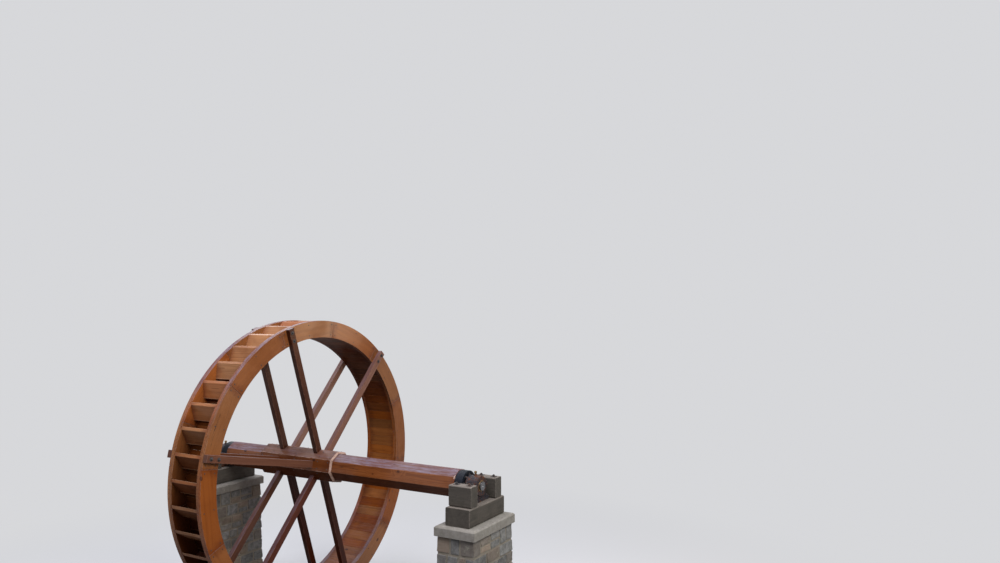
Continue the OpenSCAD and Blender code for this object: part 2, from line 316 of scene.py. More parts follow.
# %% Fields and shader nodes
class Field:
    """What a node puts out at each point of a surface: a number, a vector or a colour."""

    def __init__(self, socket):
        self.socket = socket
        self.tree = socket.id_data
        self.is_vector = socket.type in ("VECTOR", "RGBA")

    def __add__(self, other):
        return calc("ADD", self, other)

    def __sub__(self, other):
        return calc("SUBTRACT", self, other)

    def __rsub__(self, other):
        return calc("SUBTRACT", other, self)

    def __mul__(self, other):
        if self.is_vector and not isinstance(other, tuple):
            return add_node(self.tree, "VectorMath", {0: self, "Scale": other}, operation="SCALE")[0]
        return calc("MULTIPLY", self, other)

    def __truediv__(self, other):
        return calc("DIVIDE", self, other)

    def __pow__(self, power):
        return calc("POWER", self, power)

    def __abs__(self):
        return calc("ABSOLUTE", self)

    def clamped(self):
        """Holds the result of the last Math node between 0 and 1."""
        self.socket.node.use_clamp = True
        return self


def connect(value, socket):
    """Links a field to a socket, or sets the socket to a number or a colour."""
    if isinstance(value, Field):
        value.tree.links.new(value.socket, socket)
    elif socket.type == "RGBA":
        socket.default_value = (*value, 1)
    else:
        socket.default_value = value


def add_node(tree, kind, inputs=None, **settings):
    """Adds a node with its options and inputs. Its outputs come back by number and by name."""
    node = tree.nodes.new("ShaderNode" + kind)
    for key, value in settings.items():
        setattr(node, key, value)
    for key, value in (inputs or {}).items():
        connect(value, node.inputs[key])
    return {key: Field(socket) for number, socket in enumerate(node.outputs) for key in (number, socket.name)}


def calc(operation, *inputs):
    """A Math node, or a Vector Math node where a vector goes in."""
    fields = [each for each in inputs if isinstance(each, Field)]
    kind = "VectorMath" if any(each.is_vector for each in fields) else "Math"
    return add_node(fields[0].tree, kind, dict(enumerate(inputs)), operation=operation)[0]


def parts(vector):
    """The X, Y and Z of a vector field."""
    split = add_node(vector.tree, "SeparateXYZ", {0: vector})
    return split["X"], split["Y"], split["Z"]


def stretch(field, low, high, to_low=0.0, to_high=1.0, soft=True):
    """Maps low..high to another range. Past the ends it stays level."""
    return add_node(field.tree, "MapRange", {0: field, 1: low, 2: high, 3: to_low, 4: to_high},
                    interpolation_type="SMOOTHSTEP" if soft else "LINEAR")[0]


def noise(vector, scale=1.0, detail=2.0, roughness=0.5, output="Fac"):
    inputs = {"Vector": vector, "Scale": scale, "Detail": detail, "Roughness": roughness}
    return add_node(vector.tree, "TexNoise", inputs)[output]


def blend(amount, a, b, kind="MIX"):
    """Mixes two colours, from a where the amount is 0 to b where it is 1."""
    return add_node(amount.tree, "Mix", {0: amount, 6: a, 7: b}, data_type="RGBA", blend_type=kind)[2]


def dye(shade, amount, colour):
    """Darkens a shade as a stain or water does, which let through only a share of its light."""
    return blend(amount, shade, colour, "MULTIPLY")


def bump(height, strength, distance):
    inputs = {"Height": height, "Strength": strength, "Distance": distance}
    return add_node(height.tree, "Bump", inputs)["Normal"]


print("fields ready")

# %% [markdown]
# A material starts from where on the object a point is, and from the marks that its board carries.
# It ends in a Principled BSDF. Values that are the same all over are set on the shader's own sockets.

# %% Materials and node groups
VECTOR = "vector"


def mark(tree, name, output="Fac"):
    return add_node(tree, "Attribute", attribute_name=name)[output]


def object_place(tree):
    return add_node(tree, "TexCoord")["Object"]


def new_material(name):
    """A material without nodes, and its node tree."""
    material = bpy.data.materials.new(name)
    material.use_nodes = True
    material.node_tree.nodes.clear()
    return material, material.node_tree


def add_shader(tree, **sockets):
    """Ends a material in a Principled BSDF. Its sockets are named with _ for a space."""
    inputs = {name.replace("_", " "): value for name, value in sockets.items()}
    add_node(tree, "OutputMaterial", {"Surface": add_node(tree, "BsdfPrincipled", inputs)["BSDF"]})


def new_group(name, build, **inputs):
    """A node group. Each input has a default, or VECTOR, and build turns them into named masks."""
    tree = bpy.data.node_groups.new(name, "ShaderNodeTree")
    for label, default in inputs.items():
        kind = "Vector" if default is VECTOR else "Float"
        socket = tree.interface.new_socket(label, in_out="INPUT", socket_type="NodeSocket" + kind)
        if default is not VECTOR:
            socket.default_value = default
    given = tree.nodes.new("NodeGroupInput").outputs
    masks = build(*(Field(given[label]) for label in inputs))
    for label in masks:
        tree.interface.new_socket(label, in_out="OUTPUT", socket_type="NodeSocketFloat")
    exits = tree.nodes.new("NodeGroupOutput").inputs
    for label, field in masks.items():
        connect(field, exits[label])
    print("group:", name, "with", ", ".join(masks))
    return tree


def use_group(tree, group, **inputs):
    return add_node(tree, "Group", inputs, node_tree=group)


print("materials and groups can be made")

# %% [markdown]
# Sawn softwood shows the trunk's yearly rings, cut along their length. If the grain is worked out as
# distance from the trunk's heart, the rings come out right on every side of a board: long flames on
# its faces and arcs on its ends. Noise bends the trunk a little, fine fibres run along it, and the
# ring pattern swells around a few knots.

# %% Node group: timber grain
BEND = (0.9, 3.0, 3.0)
KNOT_CELLS = (2.1, 3.4, 3.4)
FIBRES = (9.0, 420.0, 420.0)
STREAKS = (0.8, 26.0, 26.0)


def grain_masks(grain, ring_gap, wander):
    drift = noise(grain * BEND, output="Color") - (0.5, 0.5, 0.5)
    bent = grain + drift * wander
    near_knot = add_node(bent.tree, "TexVoronoi", {"Vector": bent * KNOT_CELLS, "Scale": 1.0})["Distance"]
    swell = stretch(near_knot, 0.30, 0.05, 0.0, 0.016)

    _, y, z = parts(bent)
    flat = add_node(bent.tree, "CombineXYZ", {"Y": y, "Z": z})[0]
    radius = add_node(bent.tree, "VectorMath", {0: flat}, operation="LENGTH")["Value"]
    year = calc("FRACT", (radius + swell) / ring_gap)
    return {"Rings": year ** 2.6 * stretch(year, 1.0, 0.93),
            "Fibre": noise(bent * FIBRES, detail=3.0, roughness=0.65),
            "Streak": noise(bent * STREAKS, detail=3.0, roughness=0.55),
            "Knot": stretch(near_knot, 0.075, 0.045)}


timber_grain = new_group("Timber grain", grain_masks, Grain=VECTOR, Ring_gap=0.006, Wander=0.03)

# %% [markdown]
# Varnish wears off first along the arrises, the sharp edges where two faces meet. On the surface of
# a block one of the three distances to its sides is nothing, so the middle one of the three is the
# distance to the nearest arris. Noise breaks the line up, because wear is never even. A board also
# drinks water through its ends, so a second mask marks the wood close to them.

# %% Node group: worn arrises
CHIPS = (14.0, 60.0, 60.0)
END_CLOUDS = (5.0, 9.0, 9.0)


def arris_masks(place, half, grain, width):
    x, y, z = parts(half - abs(place))
    arris = calc("MAXIMUM", calc("MINIMUM", x, y), calc("MINIMUM", calc("MAXIMUM", x, y), z))
    chips = noise(grain * CHIPS, detail=3.0, roughness=0.6)
    reach = width * stretch(chips, 0.3, 0.75, 0.1, 1.0)
    clouds = noise(grain * END_CLOUDS, detail=4.0, roughness=0.6)
    return {"Wear": stretch(arris / reach, 1.0, 0.35),
            "Ends": stretch(x + 0.11 - clouds * 0.22, 0.12, 0.0)}


worn_arrises = new_group("Worn arrises", arris_masks, Place=VECTOR, Half=VECTOR, Grain=VECTOR, Width=0.006)

# %% [markdown]
# As timber dries it splits along the grain. These shakes are long, thin and dark, a few to a board
# and most of them on big timbers. A noise that is squeezed across the grain and drawn out along it
# gives them where it passes close to one value.

# %% Node group: drying shakes
OTHER_PART = (7.3, 2.1, 5.5)


def shake_masks(grain, length, spacing, amount):
    x, y, z = parts(grain)
    squeezed = add_node(grain.tree, "CombineXYZ", {"X": x / length, "Y": y / spacing, "Z": z / spacing})[0]
    off_line = abs(noise(squeezed, detail=2.5, roughness=0.45) - 0.5)
    gate = stretch(noise(squeezed + OTHER_PART, 0.55, 1.0), 0.72 - amount * 0.3, 0.8)
    return {"Shake": stretch(off_line, 0.010, 0.002) * gate}


drying_shakes = new_group("Drying shakes", shake_masks, Grain=VECTOR, Length=0.7, Spacing=0.06, Amount=0.5)

# %% [markdown]
# All the varnished timber shares one recipe with its own colours: a pale and a dark shade of the
# stain, mixed by rings, fibres and streaks, then shifted a little from board to board. Splashing
# water leaves dull, darker patches, and the ends stay damp. Faces that look down are darkened as
# painted shade, and made duller and rougher, and the insides of the low buckets are darkened as wet
# wood and as painted shade. What looks up at the sky has a thin cool film, streaked along the grain,
# which is partly tired varnish and dust and partly a painted reflection of the sky. The varnish is a
# clear coat over the wood, glossy where it is whole and rough where it is worn. All of these marks
# are made for a wheel that mostly stands still, and they turn with the wheel.

# %% Recipe: varnished timber
# Dust and tired varnish on faces that look up, together with a painted reflection of the sky.
DUST_AND_SHEEN_PALE = (0.23, 0.18, 0.225)
DUST_AND_SHEEN_DARK = (0.095, 0.055, 0.068)
# A stain colour, which also paints shade on the low arms and the bucket floors.
STAIN_AND_SHADE = (0.42, 0.27, 0.20)
DAMP_PATCH = (0.60, 0.52, 0.50)
# Painted shade on faces that look down.
UNDERSIDE_SHADE = (0.38, 0.32, 0.30)
DAMP_END = (0.55, 0.42, 0.48)
# Wet wood inside the buckets, and painted shade there, stronger lower down.
SOAKED_AND_SHADED = (0.36, 0.28, 0.24)
SOAKED_AND_SHADED_HEIGHTS = (3.1, 1.7)
KNOT_SHARES = (0.35, 0.28, 0.3)
DARK_GAP = (0.018, 0.009, 0.006)
FINE_STREAKS = (3.5, 30.0, 30.0)


def timber_masks(tree, grain, ring_gap, wander, wear_width, shake_length, shake_spacing, shakes):
    """The masks of one timber together: its grain, its worn arrises and ends, and its shakes."""
    wood = use_group(tree, timber_grain, Grain=grain, Ring_gap=ring_gap, Wander=wander)
    wood |= use_group(tree, worn_arrises, Place=mark(tree, "place", "Vector"),
                      Half=mark(tree, "half", "Vector"), Grain=grain, Width=wear_width)
    wood |= use_group(tree, drying_shakes, Grain=grain, Length=shake_length, Spacing=shake_spacing,
                      Amount=shakes)
    return wood


def varnished_timber(name, pale, dark, dust_and_sheen, ring_gap=0.006, damp=0.4, wear_width=0.006, shakes=0.3,
                     coat=0.8, worn_colour=(0.36, 0.19, 0.10), spread=0.14):
    material, tree = new_material(name)
    grain = mark(tree, "grain", "Vector")
    tone = mark(tree, "tone")
    wood = timber_masks(tree, grain, ring_gap, wander=0.035, wear_width=wear_width, shake_length=0.9,
                        shake_spacing=0.05, shakes=shakes)
    place = object_place(tree)

    figure = wood["Fibre"] * 0.35 + wood["Rings"] * 0.62
    figure = (figure + stretch(wood["Streak"], 0.35, 0.75, -0.12, 0.22)).clamped()
    knot_colour = tuple(part * share for part, share in zip(dark, KNOT_SHARES))
    own_value = calc("PINGPONG", tone * 7.0, 1.0)
    shade = add_node(tree, "HueSaturation", {
        "Hue": stretch(tone, 0, 1, 0.492, 0.506, soft=False),
        "Saturation": stretch(tone, 0, 1, 1.04, 0.92, soft=False),
        "Value": stretch(own_value, 0, 1, 1 - spread, 1 + spread, soft=False),
        "Color": blend(wood["Knot"] * 0.85, blend(figure, pale, dark), knot_colour)})[0]

    patches = stretch(noise(place, 2.3, 4.0, 0.6), 0.42, 0.72)
    wet = patches * damp
    # Inside the buckets the wood is darkened, the more the lower it hangs: wet wood and painted shade.
    soaked_and_shaded = mark(tree, "soaked_and_shaded") * stretch(parts(place)[2], *SOAKED_AND_SHADED_HEIGHTS)
    # Below 0 this mark darkens the wood: stain and painted shade. Above 0 it turns the wood paler: bleaching
    # and painted sheen.
    age_and_painted_light = mark(tree, "age_and_painted_light")
    stain_and_shade = (age_and_painted_light * -1.0).clamped()
    paler = ((figure * -0.7 + 1.0) * age_and_painted_light).clamped()
    shade = dye(shade, wet, DAMP_PATCH)
    shade = dye(shade, wood["Ends"] * 0.6, DAMP_END)
    shade = dye(shade, soaked_and_shaded, SOAKED_AND_SHADED)
    shade = dye(shade, stain_and_shade, STAIN_AND_SHADE)
    shade = blend(paler, shade, worn_colour)

    skyward = mark(tree, "skyward")
    # Faces that look down are darkened as painted shade, and made duller and rougher.
    painted_under_shade = stretch(skyward, -0.15, -0.6)
    fine_streaks = noise(grain * FINE_STREAKS, detail=7.0, roughness=0.72)
    streaks = stretch(wood["Fibre"] * 0.35 + fine_streaks, 0.52, 0.86)
    # Faces that look up get a cool streaked film: dust and tired varnish, and a painted reflection of the
    # sky.
    dust_and_sheen_cover = stretch(skyward, 0.30, 0.80) * ((streaks * 0.45 + 0.55) * dust_and_sheen)
    rubbed = mark(tree, "rubbed") * stretch(fine_streaks, 0.32, 0.62, 0.45, 0.95)
    rubbed = calc("MAXIMUM", wood["Wear"] * 0.62, rubbed)
    shade = dye(shade, painted_under_shade, UNDERSIDE_SHADE)
    shade = blend(dust_and_sheen_cover, shade, blend(streaks, DUST_AND_SHEEN_DARK, DUST_AND_SHEEN_PALE))
    shade = blend(rubbed, shade, worn_colour)
    shade = blend(wood["Shake"], shade, DARK_GAP)

    rough = wood["Fibre"] * 0.16 + 0.30 + wet * 0.22 + dust_and_sheen_cover * 0.25 + painted_under_shade * 0.25
    rough = (rough + wood["Wear"] * 0.25).clamped()
    whole = (1.0 - wood["Wear"] * 0.9) * stretch(patches, 0.0, 1.0, coat, coat * 0.45)
    whole = whole * (1.0 - stain_and_shade * 0.8) * (1.0 - dust_and_sheen_cover * 0.6) * (1.0 - painted_under_shade * 0.9)
    relief = wood["Fibre"] * 0.25 - wood["Rings"] * 0.35 - wood["Shake"] * 2.5 + wood["Knot"] * 0.5
    add_shader(tree, Base_Color=shade, Roughness=rough, Coat_Weight=whole, Coat_Roughness=0.17,
               Specular_IOR_Level=0.08, Normal=bump(relief, 0.55, 0.0012))
    return material


shroud_timber = varnished_timber("Shroud timber", (0.38, 0.122, 0.024), (0.18, 0.047, 0.008),
                                 coat=0.35, worn_colour=(0.36, 0.215, 0.155), dust_and_sheen=1.0)
arm_timber = varnished_timber("Arm timber", (0.17, 0.050, 0.018), (0.075, 0.019, 0.007),
                              damp=0.35, coat=0.35, worn_colour=(0.33, 0.18, 0.13), dust_and_sheen=0.6)
shaft_timber = varnished_timber("Shaft timber", (0.235, 0.084, 0.022), (0.105, 0.031, 0.007),
                                ring_gap=0.007, damp=0.35, shakes=0.9, worn_colour=(0.36, 0.18, 0.10),
                                dust_and_sheen=1.0)
hub_timber = varnished_timber("Hub timber", (0.24, 0.074, 0.016), (0.10, 0.027, 0.005), damp=0.8,
                              wear_width=0.012, coat=0.4, worn_colour=(0.55, 0.37, 0.29), dust_and_sheen=0.4)
sole_timber = varnished_timber("Sole timber", (0.34, 0.104, 0.014), (0.13, 0.034, 0.004), damp=0.7,
                               coat=0.04, dust_and_sheen=0.2, spread=0.3)
bucket_timber = varnished_timber("Bucket timber", (0.52, 0.222, 0.080), (0.24, 0.088, 0.028), damp=0.7,
                                 wear_width=0.010, coat=0.2, worn_colour=(0.54, 0.33, 0.20), dust_and_sheen=0.2)
print("varnished timbers:", [m.name for m in bpy.data.materials if m.name.endswith("timber")])

# %% [markdown]
# The shroud is the flat ring on each side of the wheel. It is built up from curved boards, the
# felloes, in two layers whose joints are staggered, so that each joint is backed by a whole board.
# A curved board is easiest to make the way a lathe would: a small rectangle, as wide as the ring is
# deep, is spun around the axle through one felloe's share of the circle. A felloe is sawn from a
# straight plank, so its grain runs straight while its edges curve.

# %% One felloe
FELLOE_STEPS = 16
FELLOE_MIDDLE_R = (SHROUD_RI + RIM_R) / 2
FELLOE_SWEEP = FELLOE_STEP - math.degrees(FELLOE_JOINT / FELLOE_MIDDLE_R)
SAWN_EDGE = 0.003


def spin_round(degrees, steps):
    """Spins what is selected around the Y axis, closes the result and leaves edit mode."""
    bpy.ops.mesh.spin(steps=steps, angle=math.radians(degrees), center=(0, 0, 0), axis=(0, 1, 0))
    bpy.ops.mesh.select_all(action="SELECT")
    bpy.ops.mesh.remove_doubles(threshold=0.00001)
    bpy.ops.mesh.normals_make_consistent(inside=False)
    leave_edit_mode()


def felloe_blank(name):
    """A plain felloe on the +X side of the axle, with its outer face at Y = 0 and its inner one at +Y."""
    blank = new_rectangle(name, (SHROUD_RI, RIM_R), (0, FELLOE_T))
    pick_all(blank)
    spin_round(FELLOE_SWEEP, FELLOE_STEPS)
    blank.data.transform(swing(-FELLOE_SWEEP / 2))
    round_edges(blank, SAWN_EDGE)
    return blank


def mark_felloe(piece, middle=0.0):
    """Straight grain along the chord at the felloe's middle angle, and edges that follow its curve."""
    points = corner_points(piece.data) @ np.array(swing(-middle).to_3x3()).T
    radius = np.hypot(points[:, 0], points[:, 2])
    arc = np.arctan2(points[:, 2], points[:, 0]) * FELLOE_MIDDLE_R
    through = points[:, 1] - FELLOE_T / 2
    half = (math.radians(FELLOE_SWEEP / 2) * FELLOE_MIDDLE_R, SHROUD_DEPTH / 2, FELLOE_T / 2)
    return mark_board(piece, half, grain=np.stack((points[:, 2], points[:, 0], through), 1),
                      place=np.stack((arc, radius - FELLOE_MIDDLE_R, through), 1))


plain_felloe = felloe_blank("plain_felloe")
print("felloe:", len(plain_felloe.data.polygons), "faces")

# %% [markdown]
# A tool that removes wood is a piece of its own here: a boolean modifier subtracts it. Every second
# outer felloe has a shallow housing for an arm. A block as wide as the arm, laid where the arm goes,
# is the tool.

# %% Cutting with another piece
def cut(piece, tool, operation="DIFFERENCE"):
    finish_with(piece, "BOOLEAN", operation=operation, object=tool, solver="EXACT")


HOUSING_OVERRUN = 0.1
ARM_ROOM = (-ARM_W / 2 - FIT_GAP, ARM_W / 2 + FIT_GAP)
ARM_TO_FELLOE = FIRST_ARM - (FIRST_JOINT + FELLOE_STEP / 2)
arm_tool = boxed("arm_tool", (SHROUD_RI - HOUSING_OVERRUN, RIM_R + HOUSING_OVERRUN),
                 (-HOUSING_OVERRUN, ARM_HOUSING), ARM_ROOM)
arm_tool.data.transform(swing(ARM_TO_FELLOE))
housed_felloe = copy_to(plain_felloe, Matrix.Identity(4), "housed_felloe")
cut(housed_felloe, arm_tool)
mark_felloe(housed_felloe)
mark_felloe(plain_felloe)
remove(arm_tool)
print("housed felloe:", len(housed_felloe.data.polygons), "faces")

# %% [markdown]
# A bucket is two boards: a floor that stands straight out from the drum of the wheel, and a front
# that leans over from the elbow to the rim. They meet in a mitre, halfway between their directions.
# Both are drawn here in the plane of the wheel for the bucket at angle 0, whose floor lies along +X.
# The same outlines, a hair wider, are the tools for the grooves in the shrouds.

# %% The outline of a bucket
SOLE_R = SHROUD_RI + BOARD_T
SOLE_COUNT = BUCKET_COUNT * 2
SOLE_STEP = 360 / SOLE_COUNT
FRONT_RIM_R = RIM_R - FRONT_INSET
BOARD_END = 2 * FELLOE_T - GROOVE_DEPTH + FIT_GAP
BOARD_Y = (NEAR_FACE + BOARD_END, FAR_FACE - BOARD_END)
BOARD_HALF = (BOARD_Y[1] - BOARD_Y[0]) / 2
BOARD_MIDDLE_Y = sum(BOARD_Y) / 2

elbow = Vector((SOLE_R + FLOOR_DEPTH, 0, 0))
lean = math.radians(FRONT_LEAN)
rim_end = Vector((math.cos(lean), 0, -math.sin(lean))) * FRONT_RIM_R
front_length = (rim_end - elbow).length
front_way = (rim_end - elbow).normalized()
front_up = Vector((-front_way.z, 0, front_way.x))
mitre = (front_up + Vector((0, 0, 1))).normalized()
mitre_facing = Vector((mitre.z, 0, -mitre.x))


def reach_circle(start, radius):
    """Where a line from start along the front board meets a circle about the axle."""
    along = start.dot(front_way)
    return start + front_way * (math.sqrt(along ** 2 - start.length_squared + radius ** 2) - along)


def saw(piece, point, facing):
    """Saws off what lies beyond a plane, on the side that it faces, and closes the cut."""
    pick_all(piece)
    bpy.ops.mesh.bisect(plane_co=point, plane_no=facing, use_fill=True, clear_outer=True)
    leave_edit_mode()


def floor_blank(name, thick, root_r, y):
    """The floor board of the bucket at angle 0, sawn to the mitre at its elbow."""
    board = boxed(name, (root_r, elbow.x + thick), y, (-thick / 2, thick / 2))
    saw(board, elbow, mitre_facing)
    return board


def front_blank(name, thick, rim_r, y):
    """The front board of the same bucket, laid along its lean and sawn at the elbow and the rim."""
    board = boxed(name, (-thick, front_length + 2 * thick), y, (-thick / 2, thick / 2))
    laid_over = Matrix.Rotation(-math.atan2(front_way.z, front_way.x), 4, "Y")
    board.data.transform(Matrix.Translation(elbow) @ laid_over)
    saw(board, elbow, -mitre_facing)
    low = reach_circle(elbow - front_up * thick / 2, rim_r)
    high = reach_circle(elbow + front_up * thick / 2, rim_r)
    rim_way = (high - low).normalized()
    saw(board, low, (rim_way.z, 0, -rim_way.x))
    return board


print(f"elbow at {elbow.x:.3f} m, front board {front_length:.3f} m long")

# %% [markdown]
# The inner felloes are rebated for the drum of sole boards and grooved for the buckets. Forty buckets
# over twelve felloes repeat after three felloes, so three felloes are cut, and each is copied four
# times around the wheel.

# %% Grooved inner felloes
FELLOES_TO_REPEAT = 3
INNER_MIDDLE = FIRST_JOINT + FELLOE_STEP
GROOVE_OVERRUN = 0.02
GROOVE_T = BOARD_T + 2 * FIT_GAP
GROOVE_Y = (FELLOE_T - GROOVE_DEPTH, FELLOE_T + GROOVE_OVERRUN)
REBATE_R = SOLE_R / math.cos(math.radians(SOLE_STEP / 2)) + FIT_GAP
REBATE_SIDES = 360
PAST_RIM = 1.02


def near_angle(angle, other, reach):
    return abs((angle - other + 180) % 360 - 180) < reach


def grooved_felloes():
    grooves = (floor_blank("floor_groove", GROOVE_T, SHROUD_RI - GROOVE_OVERRUN, GROOVE_Y),
               front_blank("front_groove", GROOVE_T, RIM_R * PAST_RIM, GROOVE_Y))
    low, high = GROOVE_Y
    select_only()
    bpy.ops.mesh.primitive_cylinder_add(vertices=REBATE_SIDES, radius=REBATE_R, depth=high - low,
                                        location=(0, (low + high) / 2, 0), rotation=(math.pi / 2, 0, 0))
    rebate = just_added("rebate")
    made = []
    for number in range(FELLOES_TO_REPEAT):
        middle = INNER_MIDDLE + number * FELLOE_STEP
        felloe = copy_to(plain_felloe, swing(middle), "inner_felloe")
        cut(felloe, rebate)
        for bucket in range(BUCKET_COUNT):
            angle = FLOOR_ANGLE + bucket * BUCKET_STEP
            if near_angle(angle, middle, FELLOE_STEP / 2 + 2 * FRONT_LEAN):
                for groove in grooves:
                    tool = copy_to(groove, swing(angle), "tool")
                    cut(felloe, tool)
                    remove(tool)
        made.append(mark_felloe(felloe, middle))
    remove(rebate, *grooves)
    return made


inner_patterns = grooved_felloes()
print("inner felloes:", [len(felloe.data.polygons) for felloe in inner_patterns], "faces")

# %% [markdown]
# Each of the frame's nodes holds every second felloe of a layer. So the finished felloes are copied
# to their places, the far side's are mirrored, and every second one joins the same piece. A mirrored
# mesh is inside out, so its faces are flipped back.

# %% The two shrouds
MIRROR_Y = Matrix.Scale(-1, 4, (0, 1, 0))
FLAT_FACE_WEIGHT = 80


def sided_copy(pattern, side, matrix, name):
    """A copy of a pattern that is drawn for the near side. The far side's copy is mirrored."""
    if side == "near":
        return copy_to(pattern, matrix, name)
    twin = copy_to(pattern, matrix @ MIRROR_Y, name)
    twin.data.flip_normals()
    return twin


def on_side(pattern, side, angle, name):
    """A copy at its angle on one side of the wheel. The pattern has the shroud's outer face at Y = 0."""
    return sided_copy(pattern, side, turned(angle, FACE[side]), name)


def facings(piece):
    """The way that each face looks, one row each."""
    rows = np.empty(len(piece.data.polygons) * 3, np.float32)
    piece.data.polygons.foreach_get("normal", rows)
    return rows.reshape(-1, 3)


def place_piece(piece, body, material, slot, *nodes, smooth_angle=35):
    """Smooths a piece, gives it its finish and its body, and hides the frame nodes that it stands for."""
    select_only(piece)
    bpy.ops.object.shade_smooth_by_angle(angle=math.radians(smooth_angle))
    finish_with(piece, "WEIGHTED_NORMAL", mode="FACE_AREA", weight=FLAT_FACE_WEIGHT, keep_sharp=True)
    mark_faces(piece, "skyward", facings(piece)[:, 2])
    piece.data.materials.clear()
    piece.data.materials.append(material)
    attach(piece, body)
    if nodes:
        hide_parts(*nodes)
    print(piece.name, len(piece.data.polygons), "faces")


def shroud_layer(side, layer, half):
    felloes = []
    for number in range(HALVES[half], FELLOE_COUNT, 2):
        if layer == "outer":
            pattern = plain_felloe if number % 2 else housed_felloe
            angle = FIRST_JOINT + FELLOE_STEP / 2 + number * FELLOE_STEP
        else:
            pattern = inner_patterns[number % FELLOES_TO_REPEAT]
            angle = (number - number % FELLOES_TO_REPEAT) * FELLOE_STEP
        felloes.append(own_grain(on_side(pattern, side, angle, "felloe")))
    ring = join(felloes, f"{side}_{layer}_ring_{half}")
    if layer == "inner":
        ring.data.transform(Matrix.Translation((0, -OUTWARD[side] * FELLOE_T, 0)))
        # The faces inside the buckets are marked to be darkened: wet wood and painted shade.
        mark_faces(ring, "soaked_and_shaded", facings(ring)[:, 1] * OUTWARD[side] < -0.9)
    place_piece(ring, BODY_OF_WHEEL, shroud_timber, "shroud_timber", f"{side}_{layer}_felloes_{half}")


for side in SIDES:
    for layer in ("outer", "inner"):
        for half in HALVES:
            shroud_layer(side, layer, half)
remove(plain_felloe, housed_felloe, *inner_patterns)

# %% [markdown]
# The drum behind the buckets is closed by eighty narrow sole boards, like the staves of a barrel.
# Each is a board with slanted sides, sawn here from a block. Its grain runs from shroud to shroud,
# across the wheel. Its outer face is the bottom of a bucket, so that face is marked to be darkened as
# wet wood and as painted shade.

# %% Sole boards
PLANED_EDGE = 0.0025
ACROSS_WHEEL = (0, 1, 0)
ALONG_RIM = (0, 0, 1)


def mark_straight(piece, middle, along, across, half):
    """Marks a straight board, whose middle, long axis, cross axis and half size are given."""
    axes = np.array((along, across, Vector(along).cross(Vector(across))))
    own = (corner_points(piece.data) - np.array(middle)) @ axes.T
    return mark_board(piece, half, grain=own, place=own)


def half_share(radius, step):
    """Half the width of a board at a radius, where the boards around a circle take a step each."""
    return radius * math.tan(math.radians(step / 2))


def stave(name, inner, outer, y, step):
    """A board as in a barrel: its two long sides slant, so that it meets its neighbours."""
    half_side = half_share(outer, step)
    board = boxed(name, (inner, outer), y, (-half_side, half_side))
    slant = math.radians(step / 2)
    for way in (-1, 1):
        facing = Vector((-math.sin(slant), 0, way * math.cos(slant)))
        saw(board, facing * -FIT_GAP, facing)
    return board


def sole_pattern():
    board = stave("sole_board", SHROUD_RI, SOLE_R, BOARD_Y, SOLE_STEP)
    round_edges(board, PLANED_EDGE)
    # The face at the bottom of a bucket is marked to be darkened: wet wood and painted shade.
    mark_faces(board, "soaked_and_shaded", facings(board)[:, 0] > 0.7)
    middle = ((SHROUD_RI + SOLE_R) / 2, BOARD_MIDDLE_Y, 0)
    half = (BOARD_HALF, half_share(SOLE_R, SOLE_STEP), BOARD_T / 2)
    return mark_straight(board, middle, ACROSS_WHEEL, ALONG_RIM, half)


def around_wheel(pattern, angles, name, age_and_painted_light=0.0):
    return join([own_grain(copy_to(pattern, turned(angle), "board"), age_and_painted_light=age_and_painted_light) for angle in angles], name)


sole_board = sole_pattern()
for half, first in HALVES.items():
    angles = [FLOOR_ANGLE + number * SOLE_STEP for number in range(first, SOLE_COUNT, 2)]
    drum = around_wheel(sole_board, angles, f"sole_{half}")
    place_piece(drum, BODY_OF_WHEEL, sole_timber, "sole_timber", f"sole_boards_{half}")
remove(sole_board)

# %% [markdown]
# The bucket boards use the blanks that also made the grooves, at their true thickness. The front
# boards are struck and rubbed more than all others, so they are rounded more. The floors are made
# darker, partly as wet, stained wood and partly as painted shade deep in the buckets.

# %% Bucket boards
RUBBED_EDGE = 0.004
# Bucket floors are darkened: stain, and painted shade deep in the buckets.
FLOOR_AGE_AND_SHADE = -0.85
TOWARDS_AXLE = (-1, 0, 0)


def bucket_floor_pattern():
    board = floor_blank("floor_board", BOARD_T, SOLE_R + FIT_GAP, BOARD_Y)
    board.data.transform(Matrix.Translation((-FIT_GAP / 2, 0, 0)))
    round_edges(board, PLANED_EDGE)
    middle = ((SOLE_R + elbow.x) / 2, BOARD_MIDDLE_Y, 0)
    half = (BOARD_HALF, FLOOR_DEPTH / 2, BOARD_T / 2)
    return mark_straight(board, middle, ACROSS_WHEEL, TOWARDS_AXLE, half)


def bucket_front_pattern():
    board = front_blank("front_board", BOARD_T, FRONT_RIM_R, BOARD_Y)
    round_edges(board, RUBBED_EDGE, steps=3)
    middle = (elbow + rim_end) / 2
    middle.y = BOARD_MIDDLE_Y
    return mark_straight(board, middle, ACROSS_WHEEL, -front_way, (BOARD_HALF, front_length / 2, BOARD_T / 2))


bucket_angles = [FLOOR_ANGLE + number * BUCKET_STEP for number in range(BUCKET_COUNT)]
for pattern, name, node, age_and_painted_light in ((bucket_floor_pattern(), "bucket_floor_boards", "bucket_floors", FLOOR_AGE_AND_SHADE),
                                 (bucket_front_pattern(), "bucket_front_boards", "bucket_fronts", 0.0)):
    boards = around_wheel(pattern, bucket_angles, name, age_and_painted_light)
    place_piece(boards, BODY_OF_WHEEL, bucket_timber, "bucket_timber", node)
    remove(pattern)

# %% [markdown]
# An arm is one straight stick from the shaft to the rim. Its inner end is cut back to a tenon that
# goes into the shaft: the end face is extruded by nothing, made smaller, and then extruded again.
# No two arms look alike, so each arm is given its own mark: some are made paler, partly as bleaching
# and partly as painted sheen where they face the sky, and those that hang low are made darker, partly
# as damp stain and partly as painted shade.

